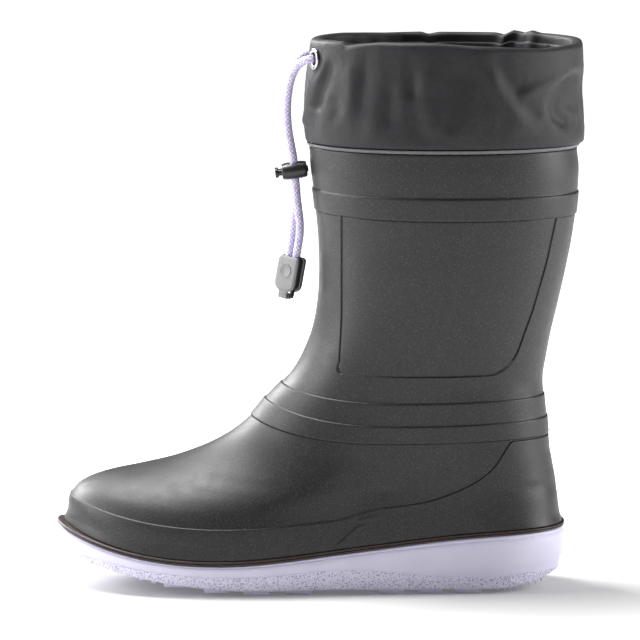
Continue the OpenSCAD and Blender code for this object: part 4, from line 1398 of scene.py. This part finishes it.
def cord_end_cover():
    front = -END_THICK / 2
    cover = end_plate("cord_end_cover", front, front + 1.5, END_WIDE - 0.4, 0.5, END_HIGH)
    step_faces(cover, 1.1, (0, -0.25, 0), lambda normal: normal.y < -0.9)
    for vertex in cover.data.vertices:
        if vertex.co.y < (front + 0.01) * MM and vertex.co.y > (front - 0.01) * MM:
            vertex.co.y += 0.45 * MM
    bevelled(cover, 0.3, 3, 20)
    disc = cylinder("disc", 3.5, 1.0, (0, front - 0.1, -8.4), (math.pi / 2, 0, 0), 48)
    step_faces(disc, 0.7, (0, 0.25, 0), lambda normal: normal.y < -0.9)
    tab = bevelled(boxed("tab", (-2.9, front + 0.1, HINGE_LOW - 0.4),
                         (2.9, front + 1.5, HINGE_LOW + 4)), 0.3, 2)
    foot = bevelled(boxed("foot", (-2.9, front + 0.2, HINGE_LOW - 1.6),
                          (2.9, 0.6, HINGE_LOW + 0.2)), 0.4, 2)
    fuse("cord_end_cover_plate", cover, disc, tab, foot, pin("knuckle", -2.9, 2.9, 3.2))
    cut_away(cover, pin("bore", -6, 6, 1.7), mouth_bar())
    put(cover, END_PLACE)
    smooth(cover, 40)
    return cover


def tied_knot(name, side):
    """The cord's end, tied in one overhand knot inside the cord end."""
    t = np.linspace(0, 2 * np.pi, 90, endpoint=False)
    ring = 1.02 + 0.42 * np.cos(3 * t)
    path = np.stack([ring * np.cos(2 * t), ring * np.sin(2 * t), 0.62 * np.sin(3 * t)], 1)
    path = np.concatenate([path, path[:2]])
    knot = wire(name, path * 0.82, 1.25, 16)
    # crown is 1 all over, so the knot gets no painted gap shade
    knot.data.attributes.new("crown", "FLOAT", "POINT").data.foreach_set(
        "value", np.ones(len(knot.data.vertices)))
    put(knot, END_PLACE @ Matrix.Translation(Vector((side * 2.5, -0.1, -6.2)) * MM))
    return knot


end_body, end_trim, end_cover = cord_end_body(), cord_end_trim(), cord_end_cover()
dress(end_body, CORDS, END_BLACK, "cord_end_base")
dress(end_trim, CORDS, END_GREY, "cord_end_base")
# the cover's grey is painted highlight on its front
dress(end_cover, COVER, END_GREY, "cord_end_cover")
knot_near, knot_far = tied_knot("cord_knot_near_tied", 1), tied_knot("cord_knot_far_tied", -1)
dress(knot_near, CORDS, BRAID, "cord_knot_near")
dress(knot_far, CORDS, BRAID, "cord_knot_far")


# ---------------------------------------------------------------- studio
def studio_floor():
    deselect()
    bpy.ops.mesh.primitive_plane_add(size=40)
    floor = bpy.context.object
    floor.name = "studio_floor"
    f = Finish("studio_white", "", 0.9, Specular_IOR_Level=0.0)
    f.surface.inputs["Base Color"].default_value = (0.56, 0.56, 0.56, 1)
    # The floor glows by distance from the boot: weakly near it, fully from 0.42 m out. This is painted
    # light that whitens the far floor and washes out cast shadows, so shade shows only close round the
    # boot.
    far = f.node("ShaderNodeVectorMath", operation="LENGTH")
    f.links.new(f.coordinates(), far.inputs[0])
    glow = f.node("ShaderNodeMapRange")
    for socket, value in (("From Min", 0.10), ("From Max", 0.42), ("To Min", 0.10),
                          ("To Max", 1.0)):
        glow.inputs[socket].default_value = value
    f.links.new(far.outputs["Value"], glow.inputs["Value"])
    f.links.new(glow.outputs["Result"], f.surface.inputs["Emission Strength"])
    f.surface.inputs["Emission Color"].default_value = (1, 1, 1, 1)
    floor.data.materials.append(f.material)


def softbox(name, place, aim, size, power):
    deselect()
    turned = (Vector(aim) - Vector(place)).to_track_quat("-Z", "Y").to_euler()
    bpy.ops.object.light_add(type="AREA", location=place, rotation=turned)
    lamp = bpy.context.object
    lamp.name = name
    lamp.data.shape = "RECTANGLE"
    lamp.data.size, lamp.data.size_y = size
    lamp.data.energy = power


studio_floor()
softbox("key_softbox", (-0.55, 0.30, 1.75), (-0.03, 0, 0.1), (0.8, 0.8), 50)
softbox("rim_softbox", (-1.3, 1.18, 0.97), (-0.06, 0, 0.1), (1.0, 0.75), 52)
softbox("left_softbox", (-1.9, -0.25, 0.70), (0, 0, 0.17), (0.7, 1.1), 34)
softbox("right_softbox", (1.7, -0.10, 0.6), (0, 0, 0.10), (0.8, 1.0), 26)
world = bpy.data.worlds.new("studio_air")
world.use_nodes = True
world.node_tree.nodes["Background"].inputs["Color"].default_value = (1, 1, 1, 1)
world.node_tree.nodes["Background"].inputs["Strength"].default_value = 0.12
bpy.context.scene.world = world
bpy.context.scene.view_settings.view_transform = "Standard"
